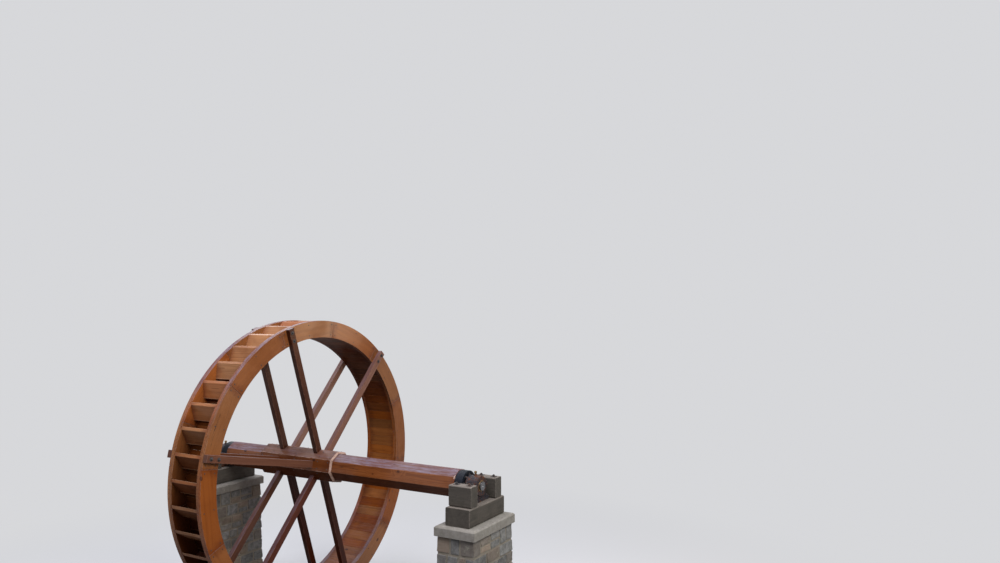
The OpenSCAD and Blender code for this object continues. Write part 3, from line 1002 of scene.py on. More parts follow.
# %% Arms
ARM_END_X = math.sqrt(RIM_R ** 2 - (ARM_W / 2) ** 2)
ARM_Y = (ARM_HOUSING - ARM_T, ARM_HOUSING)
ARM_MIDDLE_Y = sum(ARM_Y) / 2
# Paler arms are bleached and carry painted sheen; darker ones are stained and carry painted shade.
ARM_AGE_AND_LIGHT = {"near": (0.5, -0.7, 0.25, -0.7, -1.0, -0.2), "far": (0.9, -0.4, 0.0, -0.4, -1.0, -0.2)}
AWAY_FROM_AXLE = (1, 0, 0)


def tenoned_stick(name, outer, room=0.0):
    """A stick with a tenon at its inner end. A tool for cutting is larger by some room all around."""
    low, high = ARM_Y
    stick = boxed(name, (SHOULDER_R - room, outer), (low - room, high + room),
                  (-ARM_W / 2 - room, ARM_W / 2 + room))
    pick(stick, "FACE", lambda middle, facing: facing.x < -0.9)
    bpy.ops.mesh.extrude_region_move()
    bpy.ops.transform.resize(value=(1, TENON_T / ARM_T, TENON_W / ARM_W),
                             center_override=(SHOULDER_R, ARM_MIDDLE_Y, 0))
    bpy.ops.mesh.extrude_region_move(TRANSFORM_OT_translate={"value": (-TENON_DEPTH, 0, 0)})
    leave_edit_mode()
    return stick


def arm_pattern():
    arm = tenoned_stick("arm", ARM_END_X)
    round_edges(arm, SAWN_EDGE)
    middle = ((SHOULDER_R + ARM_END_X) / 2, ARM_MIDDLE_Y, 0)
    half = ((ARM_END_X - SHOULDER_R) / 2, ARM_W / 2, ARM_T / 2)
    return mark_straight(arm, middle, AWAY_FROM_AXLE, ALONG_RIM, half)


arm_stick = arm_pattern()
arm_angles = [FIRST_ARM + number * 360 / ARM_COUNT for number in range(ARM_COUNT)]
for side in SIDES:
    for number, (angle, age_and_painted_light) in enumerate(zip(arm_angles, ARM_AGE_AND_LIGHT[side]), 1):
        arm = own_grain(on_side(arm_stick, side, angle, f"{side}_arm_stick_{number}"), age_and_painted_light=age_and_painted_light)
        place_piece(arm, BODY_OF_WHEEL, arm_timber, "arm_timber", f"{side}_arm_{number}")
remove(arm_stick)

# %% [markdown]
# The shaft is a whole trunk hewn to eight sides, one of them square to the third arm. It starts as a
# cylinder with eight sides. A second cylinder with chamfered ends is the shape that the lathe leaves
# at both ends, and the shaft keeps only what lies inside it. Its long faces are then divided, so that
# they can be made a little uneven later.

# %% Shaft
SHAFT_LOW, SHAFT_HIGH = along_y("shaft")
SHAFT_L = SHAFT_HIGH - SHAFT_LOW
SHAFT_CORNER_R = SHAFT_AF / 2 / math.cos(math.radians(FACET_STEP / 2))
SHAFT_CHAMFER = 0.016
SHAFT_EDGE = 0.005
SHAFT_STEPS = 80
TURNED_SIDES = 96
Y_AXIS = 1


def along_axle(name, sides, radius, length, turn=0.0):
    """A cylinder along the Y axis, with its middle at the origin."""
    select_only()
    bpy.ops.mesh.primitive_cylinder_add(vertices=sides, radius=radius, depth=length)
    bpy.ops.mesh.customdata_custom_splitnormals_clear()
    piece = bpy.context.object
    piece.name = name
    piece.data.transform(Matrix.Rotation(math.pi / 2, 4, "X") @ Matrix.Rotation(math.radians(turn), 4, "Z"))
    return piece


def chamfer_picked(width):
    """Cuts off the selected edges with a flat, and leaves edit mode."""
    bpy.ops.mesh.bevel(offset=width, segments=1, affect="EDGES")
    leave_edit_mode()


def slice_evenly(axis, low, high, steps):
    """In edit mode, cuts through the whole piece at even steps between two places on an axis."""
    facing = [float(other == axis) for other in range(3)]
    for number in range(1, steps):
        point = [0.0, 0.0, 0.0]
        point[axis] = low + (high - low) * number / steps
        bpy.ops.mesh.select_all(action="SELECT")
        bpy.ops.mesh.bisect(plane_co=point, plane_no=facing)


def shaft_piece():
    shaft = along_axle("shaft_timber", FACET_COUNT, SHAFT_CORNER_R, SHAFT_L, FLAT_ANGLE + FACET_STEP / 2)
    round_edges(shaft, SHAFT_EDGE)
    lathe = along_axle("lathe", TURNED_SIDES, SHAFT_CORNER_R + SHAFT_CHAMFER, SHAFT_L)
    pick(lathe, "FACE", lambda middle, facing: abs(facing.y) > 0.9)
    bpy.ops.mesh.region_to_loop()
    chamfer_picked(2 * SHAFT_CHAMFER)
    cut(shaft, lathe, "INTERSECT")
    remove(lathe)
    pick_all(shaft)
    slice_evenly(Y_AXIS, -SHAFT_L / 2, SHAFT_L / 2, SHAFT_STEPS)
    leave_edit_mode()
    return shaft


shaft = shaft_piece()
print("shaft:", len(shaft.data.polygons), "faces, box", tuple(round(v, 4) for v in shaft.dimensions))

# %% [markdown]
# Hewn faces are never quite flat, so those of the shaft are pushed in by up to two millimetres with a
# soft cloud texture. The mortises are cut with the same stick shape as the arms, a hair larger. The
# faces of the shaft are marked one by one: each knows how far it is from the two arrises beside it.
# The heart of the trunk lies almost in the middle of the shaft, so its grain is only moved a little.

# %% The shaft's mortises, surface and marks
SHAFT_HEART = (0.01, 0.03)
HEWN_DEPTH = 0.002
HEWN_CLOUDS = 0.5


def roughen(piece, depth, cloud_size, seed=0.0):
    """Pushes a divided surface in by up to a depth, with a soft cloud pattern."""
    clouds = bpy.data.textures.new("clouds", "CLOUDS")
    clouds.noise_scale = cloud_size
    clouds.noise_depth = 2
    piece.data.transform(Matrix.Translation((seed, 0, 0)))
    finish_with(piece, "DISPLACE", texture=clouds, texture_coords="LOCAL", mid_level=1.0, strength=depth)
    piece.data.transform(Matrix.Translation((-seed, 0, 0)))
    bpy.data.textures.remove(clouds)


def mark_facets(piece):
    """Marks an eight-sided timber along Y: each corner is measured on the facet that it belongs to."""
    points = corner_points(piece.data)
    facing = np.repeat(facings(piece), [face.loop_total for face in piece.data.polygons], axis=0)
    look = np.where(np.abs(facing[:, [1]]) > 0.8, points, facing)
    step = math.radians(FACET_STEP)
    first = math.radians(FLAT_ANGLE)
    facet = np.round((np.arctan2(look[:, 2], look[:, 0]) - first) / step) * step + first
    out = points[:, 0] * np.cos(facet) + points[:, 2] * np.sin(facet)
    aside = points[:, 2] * np.cos(facet) - points[:, 0] * np.sin(facet)
    return mark_board(piece, (SHAFT_L / 2, half_share(SHAFT_AF / 2, FACET_STEP), SHAFT_AF / 2),
                      grain=points[:, [1, 0, 2]], place=np.stack((points[:, 1], aside, out), 1))


def all_arm_tools():
    """The room that every arm and tenon takes, as one tool."""
    stick = tenoned_stick("stick", SHROUD_RI, FIT_GAP)
    tools = [on_side(stick, side, angle, "tool") for side in SIDES for angle in arm_angles]
    remove(stick)
    return join(tools, "arm_tools")


arm_tools = all_arm_tools()
roughen(shaft, HEWN_DEPTH, HEWN_CLOUDS)
shaft.data.transform(Matrix.Translation(AXLE))
cut(shaft, arm_tools)
shaft.data.transform(Matrix.Translation(-AXLE))
own_grain(mark_facets(shaft), SHAFT_HEART)
shaft.data.transform(Matrix.Translation(AXLE))
place_piece(shaft, BODY_OF_WHEEL, shaft_timber, "shaft_timber", "shaft")

# %% [markdown]
# Eight boards are laid around the shaft where the arms enter it, so that the hub is thicker there.
# Each has slanted sides that meet its neighbours and a broad chamfer on both ends, where the varnish
# is rubbed away. The arms pass through them, so the arms' tool is used on each board where it lies.

# %% Hub boards
HUB_T = 0.030
HUB_CHAMFER = 0.022
HUB_IN = SHAFT_AF / 2 + FIT_GAP
HUB_OUT = SHAFT_AF / 2 + HUB_T
HUB_Y = along_y("hub_boards_even")
HUB_MIDDLE_Y = sum(HUB_Y) / 2
AT_EDGE = 0.001


def hub_pattern():
    board = stave("hub_board", HUB_IN, HUB_OUT, HUB_Y, FACET_STEP)
    pick(board, "EDGE", lambda middle, way: middle.x > HUB_OUT - AT_EDGE and abs(way.y) < 0.1)
    chamfer_picked(HUB_CHAMFER)
    round_edges(board, PLANED_EDGE)
    return board


def hub_boards(half):
    middle = ((HUB_IN + HUB_OUT) / 2, HUB_MIDDLE_Y, 0)
    half_size = (HUB_Y[1] - HUB_MIDDLE_Y, half_share(HUB_OUT, FACET_STEP), HUB_T / 2)
    boards = []
    for number in range(HALVES[half], FACET_COUNT, 2):
        to_place = turned(FLAT_ANGLE + number * FACET_STEP)
        board = copy_to(hub_board, to_place, "board")
        cut(board, arm_tools)
        board.data.transform(to_place.inverted())
        own_grain(mark_straight(board, middle, ACROSS_WHEEL, ALONG_RIM, half_size))
        facing = facings(board)
        mark_faces(board, "rubbed", (np.abs(facing[:, 1]) > 0.4) & (facing[:, 0] > 0.4))
        board.data.transform(to_place)
        boards.append(board)
    return join(boards, f"hub_{half}")


hub_board = hub_pattern()
for half in HALVES:
    place_piece(hub_boards(half), BODY_OF_WHEEL, hub_timber, "hub_timber", f"hub_boards_{half}")
remove(hub_board, arm_tools)

# %% [markdown]
# Cast and forged iron has a dark skin with a fine grain. It is painted nearly black, the paint is
# worn to brown rust in patches, and damp air leaves a dull bloom. One group makes the masks that all
# the ironwork needs: the rust, the older and darker rust in it, the fine casting skin and the bloom.
# The bearings stand in the wet without a roof, so they are rustier than the rest.

# %% Node group and materials: ironwork
RUST = (0.19, 0.076, 0.036)
OLD_RUST = (0.075, 0.034, 0.024)
LATHE_RINGS = (1.0, 900.0, 1.0)


def iron_masks(place, rust, scale):
    spot = place * scale
    limit = 0.74 - rust * 0.35
    return {"Rust": stretch(noise(spot, 9.0, 8.0, 0.74), limit, limit + 0.17),
            "Old rust": stretch(noise(spot, 27.0, 6.0, 0.7), 0.36, 0.66),
            "Skin": noise(spot, 260.0, 3.0, 0.6),
            "Bloom": stretch(noise(spot, 3.1, 3.0), 0.35, 0.7)}


iron_skin = new_group("Iron skin", iron_masks, Place=VECTOR, Rust=0.3, Scale=1.0)


def painted_iron(name, colour, bloom_colour, rust=0.3, scale=1.0):
    material, tree = new_material(name)
    skin = use_group(tree, iron_skin, Place=object_place(tree), Rust=rust, Scale=scale)
    shade = blend(skin["Bloom"] * 0.6, colour, bloom_colour)
    shade = blend(skin["Rust"] * 0.8, shade, blend(skin["Old rust"], RUST, OLD_RUST))
    rough = (skin["Bloom"] * 0.16 + 0.34 + skin["Rust"] * 0.3).clamped()
    add_shader(tree, Base_Color=shade, Roughness=rough, Specular_IOR_Level=0.12,
               Normal=bump(skin["Skin"] + skin["Rust"] * 1.5, 0.5, 0.0006))
    return material


def turned_metal(name, colour, dark):
    """Metal from the lathe: fine rings around the Y axis, with a little grease."""
    material, tree = new_material(name)
    place = object_place(tree)
    rings = noise(place * LATHE_RINGS)
    grease = stretch(noise(place, 24.0, 4.0, 0.6), 0.45, 0.65)
    add_shader(tree, Base_Color=blend(grease, colour, dark), Roughness=stretch(rings, 0.2, 0.8, 0.34, 0.50),
               Metallic=stretch(grease, 0, 1, 1.0, 0.8), Normal=bump(rings, 0.15, 0.0003))
    return material


# The cool blue in these two dark colours is a painted reflection of the sky on the black paint.
cast_iron = painted_iron("Cast iron", (0.006, 0.008, 0.012), (0.015, 0.018, 0.027))
bearing_iron = painted_iron("Bearing iron", (0.022, 0.022, 0.028), (0.055, 0.050, 0.056), rust=0.85)
bolt_iron = painted_iron("Bolt iron", (0.050, 0.048, 0.050), (0.11, 0.095, 0.085), rust=0.7, scale=3.0)
journal_iron = turned_metal("Turned iron", (0.20, 0.20, 0.21), (0.11, 0.105, 0.10))
bronze = turned_metal("Bronze", (0.34, 0.22, 0.10), (0.13, 0.09, 0.05))
print("metals:", [each.name for each in (cast_iron, bearing_iron, bolt_iron, journal_iron, bronze)])

# %% [markdown]
# Each end of the shaft is closed by an iron drum. Its end face is recessed between a rim and a boss,
# which is done by hand with inset and extrude. The round gudgeon stands out of the boss and turns in
# the bearing. It is bare turned metal, so it is a piece of its own.

# %% Gudgeons
NEAR_GUDGEON_Y = along_y("near_gudgeon")
END_Y = {"near": NEAR_GUDGEON_Y[1], "far": along_y("far_gudgeon")[0]}
DRUM_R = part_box("near_gudgeon")[1].x
DRUM_L = 0.110
DRUM_RIM = 0.028
DRUM_RECESS = 0.006
BOSS_R = 0.088
GUDGEON_R = 0.055
GUDGEON_L = NEAR_GUDGEON_Y[1] - NEAR_GUDGEON_Y[0] - DRUM_L
CENTRE_HOLE_R = 0.012
CENTRE_TAPER = 0.010
IRON_EDGE = 0.003
GUDGEON_EDGE = 0.004
METAL_ANGLE = 40


def turned_end(name, radius, inner_y, length, insets):
    """A cylinder that goes outwards from a place on the axle. Its outer face is inset step by step."""
    piece = along_axle(name, TURNED_SIDES, radius, length)
    pick(piece, "FACE", lambda middle, facing: facing.y < -0.9 and math.hypot(middle.x, middle.z) < 0.01)
    for thickness, depth in insets:
        bpy.ops.mesh.inset(thickness=thickness, depth=depth)
    leave_edit_mode()
    piece.data.transform(Matrix.Translation((0, inner_y - length / 2, 0)))
    return piece


drum_insets = ((DRUM_RIM, 0), (DRUM_RECESS, -DRUM_RECESS), (DRUM_R - DRUM_RIM - DRUM_RECESS - BOSS_R, 0),
               (DRUM_RECESS / 2, DRUM_RECESS))
drum_blank = turned_end("drum", DRUM_R, 0, DRUM_L, drum_insets)
round_edges(drum_blank, IRON_EDGE, angle=35)
gudgeon_insets = ((GUDGEON_R - CENTRE_HOLE_R, 0), (CENTRE_TAPER, -CENTRE_HOLE_R))
gudgeon_blank = turned_end("gudgeon", GUDGEON_R, -DRUM_L, GUDGEON_L, gudgeon_insets)
round_edges(gudgeon_blank, GUDGEON_EDGE, angle=50)
for side in SIDES:
    to_end = Matrix.Translation((0, END_Y[side], AXLE.z))
    drum = sided_copy(drum_blank, side, to_end, f"{side}_drum")
    gudgeon = sided_copy(gudgeon_blank, side, to_end, f"{side}_journal")
    place_piece(drum, BODY_OF_WHEEL, cast_iron, "ironwork", f"{side}_gudgeon", smooth_angle=METAL_ANGLE)
    place_piece(gudgeon, BODY_OF_WHEEL, journal_iron, "ironwork", smooth_angle=METAL_ANGLE)
remove(drum_blank, gudgeon_blank)
print("gudgeons: length of the turned part", round(GUDGEON_L, 3), "m")

# %% [markdown]
# Nuts, washers and screw heads hold the timbers. They are small, but they tell how big the wheel is.
# Each is modelled once, standing up along Z, and copied to its places. A nut is a six-sided cylinder
# on a round washer, with the bolt's end standing out of it. A screw head is a low dome.

# %% Patterns of the fastenings
def soften(piece, width):
    """One narrow bevel on the sharp edges of a small piece."""
    round_edges(piece, width, steps=1, angle=50)


def disc(name, sides, radius, low, high, edge):
    """A cylinder along Z, between two heights."""
    select_only()
    bpy.ops.mesh.primitive_cylinder_add(vertices=sides, radius=radius, depth=high - low,
                                        location=(0, 0, (low + high) / 2))
    piece = just_added(name)
    soften(piece, edge)
    return piece


def raise_top(piece, *insets):
    """Draws the top face in while it rises, once for each pair of a width and a height."""
    pick(piece, "FACE", lambda middle, facing: facing.z > 0.9)
    for thickness, depth in insets:
        bpy.ops.mesh.inset(thickness=thickness, depth=depth)
    leave_edit_mode()


def nut_pattern(size, washer_r, square=False):
    """A nut for a bolt of the given size, on its washer, with the bolt's end through it."""
    if square:
        top = 0.3 * size
        washer = boxed("washer", (-washer_r, washer_r), (-washer_r, washer_r), (0, top))
        soften(washer, 0.0012)
    else:
        top = 0.18 * size
        washer = disc("washer", 20, washer_r, 0, top, 0.0008)
    nut = disc("nut", 6, 0.87 * size, top, top + 0.8 * size, 0.12 * size)
    end = disc("end", 12, 0.5 * size, top + 0.8 * size, top + 1.1 * size, 0.1 * size)
    return join([washer, nut, end], "nut")


def screw_pattern(radius):
    """A domed screw head."""
    head = disc("head", 12, radius, 0, 0.2 * radius, 0.04 * radius)
    raise_top(head, (0.2 * radius, 0.22 * radius), (0.35 * radius, 0.14 * radius))
    return head


def standing(point, facing, turn=0.0):
    """Puts a pattern that stands along +Z onto a point of a surface that faces some way."""
    stood = Vector(facing).to_track_quat("Z", "Y").to_matrix().to_4x4()
    return Matrix.Translation(point) @ stood @ Matrix.Rotation(math.radians(turn), 4, "Z")


def fasten(name, pattern, places, body):
    """One piece that holds a copy of the pattern at each place."""
    piece = join([copy_to(pattern, place, "fastening") for place in places], name)
    place_piece(piece, body, bolt_iron, "ironwork", smooth_angle=METAL_ANGLE)


arm_nut = nut_pattern(0.018, 0.026)
timber_nut = nut_pattern(0.020, 0.032, square=True)
iron_nut = nut_pattern(0.020, 0.022)
screw = screw_pattern(0.0085)
print("nut:", len(arm_nut.data.polygons), "faces, screw head:", len(screw.data.polygons), "faces")

# %% [markdown]
# Two bolts hold each arm to its shroud. Screws hold the ends of each felloe to the layer behind it.
# Screws also hold the hub boards, and eight bolts hold each drum.

# %% Fastenings on the wheel
ARM_PROUD = ARM_T - ARM_HOUSING
BOLT_INSET = 0.060
SCREW_INSET = 0.045
SCREW_ASIDE = 0.045
ARM_BOLT_RADII = (SHROUD_RI + BOLT_INSET, RIM_R - BOLT_INSET)
SCREW_RADII = (SHROUD_RI + SCREW_INSET, RIM_R - SCREW_INSET)
DRUM_BOLT_R = (DRUM_R + BOSS_R - DRUM_RIM) / 2
HUB_SCREW_INSETS = (0.060, 0.240)


def wheel_point(angle, radius, y, aside=0.0):
    """A point at an angle, a distance from the axle and a place along Y, moved aside along the rim."""
    return turned(angle, y) @ Vector((radius, 0, aside))


for side in SIDES:
    face = FACE[side]
    out = Vector((0, OUTWARD[side], 0))
    arm_top = face + OUTWARD[side] * ARM_PROUD
    places = [standing(wheel_point(angle, radius, arm_top), out, dice.uniform(0, 60))
              for angle in arm_angles for radius in ARM_BOLT_RADII]
    fasten(f"{side}_arm_bolts", arm_nut, places, BODY_OF_WHEEL)
    points = []
    for number in range(FELLOE_COUNT):
        joint = FIRST_JOINT + number * FELLOE_STEP
        for radius in SCREW_RADII:
            points += [wheel_point(joint, radius, face, aside) for aside in (-SCREW_ASIDE, SCREW_ASIDE)]
            points.append(wheel_point(joint + FELLOE_STEP / 2, radius, face))
    fasten(f"{side}_felloe_screws", screw, [standing(point, out) for point in points], BODY_OF_WHEEL)
    recess = END_Y[side] + OUTWARD[side] * (DRUM_L - DRUM_RECESS)
    places = [standing(wheel_point(FLAT_ANGLE + turn, DRUM_BOLT_R, recess), out, turn)
              for turn in (number * FACET_STEP for number in range(FACET_COUNT))]
    fasten(f"{side}_drum_bolts", iron_nut, places, BODY_OF_WHEEL)

hub_rows = [HUB_Y[0] + inset for inset in HUB_SCREW_INSETS] + [HUB_Y[1] - inset for inset in HUB_SCREW_INSETS]
hub_rows.append(HUB_MIDDLE_Y)
places = []
for number in range(FACET_COUNT):
    angle = FLAT_ANGLE + number * FACET_STEP
    places += [standing(wheel_point(angle, HUB_OUT, y, aside), swing(angle) @ Vector(AWAY_FROM_AXLE))
               for y in hub_rows for aside in (-SCREW_ASIDE, SCREW_ASIDE)]
fasten("hub_screws", screw, places, BODY_OF_WHEEL)

# %% [markdown]
# The bearing block and its cap have exact shapes in the frame already: round housing, ears, web and
# foot. A copy of each is taken, its loose triangles are merged into whole faces again, and its edges
# are softened as a casting's are. Nuts, a bronze ring at each end of the bore and a grease cup on
# the cap are added.

# %% Bearings
UP = Vector((0, 0, 1))
BEARING_L = 0.160
BEARING_Y = {side: sum(along_y(f"{side}_bearing")) / 2 for side in SIDES}
EAR_TOP = AXLE.z + 0.030
FOOT_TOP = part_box("near_bearing")[0].z + 0.040
CAP_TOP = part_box("near_bearing_cap")[1].z
EAR_BOLT = (0.144, 0.040)
FOOT_BOLT = (0.174, 0.048)
EAR_NUT_TURN = 30
BUSH_R = (GUDGEON_R + FIT_GAP, GUDGEON_R + 0.011)
BUSH_PROUD = 0.004
BUSH_STEPS = 64
CUP_FOOT_H = 0.010
CUP_H = 0.034


def casting(node, name):
    """A copy of a frame node, with its triangles merged into whole faces and its edges softened."""
    select_only()
    piece = frame["nodes"][node].copy()
    piece.data = piece.data.copy()
    piece.parent = None
    for key in list(piece.keys()):
        del piece[key]
    bpy.context.scene.collection.objects.link(piece)
    piece.name = name
    pick_all(piece)
    bpy.ops.mesh.customdata_custom_splitnormals_clear()
    bpy.ops.mesh.remove_doubles(threshold=0.00002)
    bpy.ops.mesh.dissolve_limited(angle_limit=math.radians(0.5))
    leave_edit_mode()
    round_edges(piece, IRON_EDGE, angle=40)
    return piece


def bush_ring(y):
    """A ring around the axle: a rectangle spun once round."""
    ring = new_rectangle("bush", BUSH_R, (0, BUSH_PROUD))
    pick_all(ring)
    bpy.ops.mesh.delete(type="ONLY_FACE")
    bpy.ops.mesh.select_all(action="SELECT")
    spin_round(360, BUSH_STEPS)
    soften(ring, (BUSH_R[1] - BUSH_R[0]) / 8)
    ring.data.transform(Matrix.Translation((0, y, AXLE.z)))
    return ring


def grease_cup():
    """A bronze cup on a six-sided foot: the foot, and a cup that is drawn in at its top."""
    foot = disc("foot", 6, 0.012, 0, CUP_FOOT_H, 0.001)
    cup = disc("cup", 24, 0.017, CUP_FOOT_H, CUP_H, 0.002)
    raise_top(cup, (0.004, 0.003))
    return join([foot, cup], "grease_cup")


def four_points(aside, y, along, z):
    """Four points at a height, left and right of a place on the shaft, and before and behind it."""
    return [Vector((x, y + shift, z)) for x in (-aside, aside) for shift in (-along, along)]


cup_blank = grease_cup()
for side in SIDES:
    y = BEARING_Y[side]
    for node, name in ((f"{side}_bearing", f"{side}_bearing_block"), (f"{side}_bearing_cap", f"{side}_cap")):
        place_piece(casting(node, name), BODY_OF_SUPPORTS, bearing_iron, "ironwork", node,
                    smooth_angle=METAL_ANGLE)
    ends = [bush_ring(y + BEARING_L / 2), bush_ring(y - BEARING_L / 2 - BUSH_PROUD)]
    place_piece(join(ends, f"{side}_bush"), BODY_OF_SUPPORTS, bronze, "ironwork", smooth_angle=METAL_ANGLE)
    ears = [standing(point, UP, math.copysign(EAR_NUT_TURN, point.x))
            for point in four_points(EAR_BOLT[0], y, EAR_BOLT[1], EAR_TOP)]
    feet = [standing(point, UP) for point in four_points(FOOT_BOLT[0], y, FOOT_BOLT[1], FOOT_TOP)]
    fasten(f"{side}_bearing_bolts", iron_nut, ears + feet, BODY_OF_SUPPORTS)
    cup = copy_to(cup_blank, Matrix.Translation((0, y, CAP_TOP)), f"{side}_grease_cup")
    place_piece(cup, BODY_OF_SUPPORTS, bronze, "ironwork", smooth_angle=METAL_ANGLE)
remove(cup_blank)
print("bearings at y", {side: round(y, 3) for side, y in BEARING_Y.items()})

# %% [markdown]
# The timbers under the bearings stand in the weather without varnish. They have gone grey-brown,
# with open shakes, darker wet patches, pale worn arrises and bleached tops. The same groups as on
# the varnished timber give grain, wear and shakes, and the colours and the gloss differ.

# %% Material: weathered timber
DAMP_TIMBER = (0.50, 0.50, 0.46)
OPEN_SHAKE = (0.02, 0.016, 0.012)


def weathered_timber(name, pale, dark, worn_colour):
    material, tree = new_material(name)
    wood = timber_masks(tree, mark(tree, "grain", "Vector"), ring_gap=0.008, wander=0.04, wear_width=0.016,
                        shake_length=0.35, shake_spacing=0.03, shakes=1.0)
    figure = (wood["Streak"] * 0.9 + wood["Rings"] * 0.35 - 0.3 + wood["Fibre"] * 0.3).clamped()
    damp = stretch(noise(object_place(tree), 5.0, 5.0, 0.6), 0.45, 0.65)
    paler = stretch(mark(tree, "skyward"), 0.4, 0.9)
    shade = dye(blend(figure, pale, dark), damp * 0.55, DAMP_TIMBER)
    shade = blend(wood["Wear"] * 0.45, shade, worn_colour)
    shade = blend(paler * 0.6, shade, worn_colour)
    shade = blend(wood["Shake"], shade, OPEN_SHAKE)
    relief = wood["Rings"] * 0.6 + wood["Fibre"] * 0.5 - wood["Shake"] * 3.0
    add_shader(tree, Base_Color=shade, Roughness=stretch(wood["Fibre"], 0.3, 0.7, 0.72, 0.9),
               Normal=bump(relief, 0.7, 0.002))
    return material


cheek_timber = weathered_timber("Cheek timber", (0.086, 0.073, 0.058), (0.033, 0.028, 0.022),
                                (0.25, 0.215, 0.185))
print("material:", cheek_timber.name)

# %% [markdown]
# Two short timbers, the cheeks, stand beside the bearing and keep it from creeping sideways. They
# stand on a long timber, the sill, which spreads the load over the pier. Each is a block with broad
# chamfers along its length. It is divided and roughened a little, and bolted down.

# %% Cheeks and sills
TIMBER_CHAMFER = 0.012
TIMBER_STEP = 0.025
TIMBER_HEART = (0.02, 0.07)
WEATHERED_DEPTH = 0.0025
WEATHERED_CLOUDS = 0.09
CHEEK_W = 0.150
CHEEK_BOLT_ALONG = 0.09
NUT_SUNK = 0.001


def divide(piece, low, high, step):
    """Cuts a piece across every axis, at even steps of about the given size."""
    pick_all(piece)
    for axis in range(3):
        slice_evenly(axis, low[axis], high[axis], max(2, round((high[axis] - low[axis]) / step)))
    leave_edit_mode()


def heavy_timber(name, low, high, along):
    """A chamfered timber between two corners of its box. Along is the axis that its grain runs on."""
    timber = boxed(name, *zip(low, high))
    way = Vector(along)
    pick(timber, "EDGE", lambda middle, direction: abs(direction.dot(way)) > 0.9)
    chamfer_picked(TIMBER_CHAMFER)
    round_edges(timber, SAWN_EDGE)
    divide(timber, low, high, TIMBER_STEP)
    roughen(timber, WEATHERED_DEPTH, WEATHERED_CLOUDS, seed=dice.uniform(0, 9))
    across = Vector((along[1], along[2], along[0]))
    middle, size = middle_and_size(*zip(low, high))
    half = [abs(Vector(size).dot(axis)) / 2 for axis in (way, across, way.cross(across))]
    return own_grain(mark_straight(timber, middle, way, across, half), TIMBER_HEART)


def corners(node):
    return [tuple(corner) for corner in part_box(node)]


for side in SIDES:
    low, high = corners(f"{side}_cheeks")
    left = heavy_timber("left", low, (low[0] + CHEEK_W, *high[1:]), (0, 1, 0))
    right = heavy_timber("right", (high[0] - CHEEK_W, *low[1:]), high, (0, 1, 0))
    cheeks = join([left, right], f"{side}_cheek_timbers")
    place_piece(cheeks, BODY_OF_SUPPORTS, cheek_timber, "support_timber", f"{side}_cheeks")
    sill = heavy_timber(f"{side}_sill_timber", *corners(f"{side}_sill"), (1, 0, 0))
    place_piece(sill, BODY_OF_SUPPORTS, cheek_timber, "support_timber", f"{side}_sill")
    bolts = four_points(high[0] - CHEEK_W / 2, BEARING_Y[side], CHEEK_BOLT_ALONG, high[2] - NUT_SUNK)
    tops = [standing(point, UP, dice.uniform(-8, 8)) for point in bolts]
    fasten(f"{side}_cheek_bolts", timber_nut, tops, BODY_OF_SUPPORTS)

# %% [markdown]
# Stone needs three scales: a colour for each stone, mottling across a stone, and a fine grain that
# catches the light. Old masonry also has dark damp patches and pale lichen. A group makes the masks
# for all of it, so that the rubble, the dressed padstones and the mortar are of one family.

# %% Node group and materials: stone
LICHEN = (0.36, 0.37, 0.28)
DARK_LICHEN = (0.20, 0.21, 0.15)
DAMP_STONE = (0.52, 0.50, 0.47)
DARK_GRIT = (0.07, 0.068, 0.062)


def stone_masks(place):
    return {"Mottle": noise(place, 16.0, 6.0, 0.7),
            "Grit": noise(place, 190.0, 4.0, 0.7),
            "Damp": stretch(noise(place, 1.7, 4.0, 0.6), 0.48, 0.68),
            "Lichen": stretch(noise(place, 9.0, 6.0, 0.75), 0.60, 0.66),
            "Cloud": noise(place, 42.0, 5.0, 0.6)}


stone_grain = new_group("Stone grain", stone_masks, Place=VECTOR)


def chisel_marks(place):
    """Slanting bands, as a broad chisel leaves them."""
    slant = add_node(place.tree, "Mapping", {"Vector": place, "Rotation": (0.5, 0.3, 0.4)})[0]
    inputs = {"Vector": slant, "Scale": 30.0, "Distortion": 2.2, "Detail": 3.0, "Detail Scale": 2.5}
    return add_node(place.tree, "TexWave", inputs, wave_type="BANDS")["Fac"]


def stone_material(name, pale, dark, warm, lichen=LICHEN, grit=0.5, tooled=False):
    """Stone in a pale and a dark shade, with some stones drawn to a warmer one, and lichen on top."""
    material, tree = new_material(name)
    place = object_place(tree)
    tone = mark(tree, "tone")
    stone = use_group(tree, stone_grain, Place=place)
    warmth = stretch(calc("FRACT", tone * 7.31), 0.45, 0.9)
    shade = blend(stretch(stone["Mottle"], 0.3, 0.7), dark, pale)
    shade = blend(warmth * 0.75, shade, warm)
    own_value = stretch(tone, 0, 1, 0.72, 1.22, soft=False)
    shade = add_node(tree, "HueSaturation", {"Value": own_value, "Color": shade})[0]
    shade = dye(shade, stone["Damp"] * 0.55, DAMP_STONE)
    shade = blend(stone["Lichen"] * 0.5, shade, lichen)
    shade = blend(stretch(stone["Grit"], 0.60, 0.72) * 0.3, shade, DARK_GRIT)
    relief = stone["Cloud"] * 2.2 + stone["Grit"] * grit
    if tooled:
        relief = relief + chisel_marks(place) * 0.45
    add_shader(tree, Base_Color=shade, Roughness=stretch(stone["Cloud"], 0.3, 0.7, 0.78, 0.95),
               Normal=bump(relief, 0.8, 0.003))
    return material


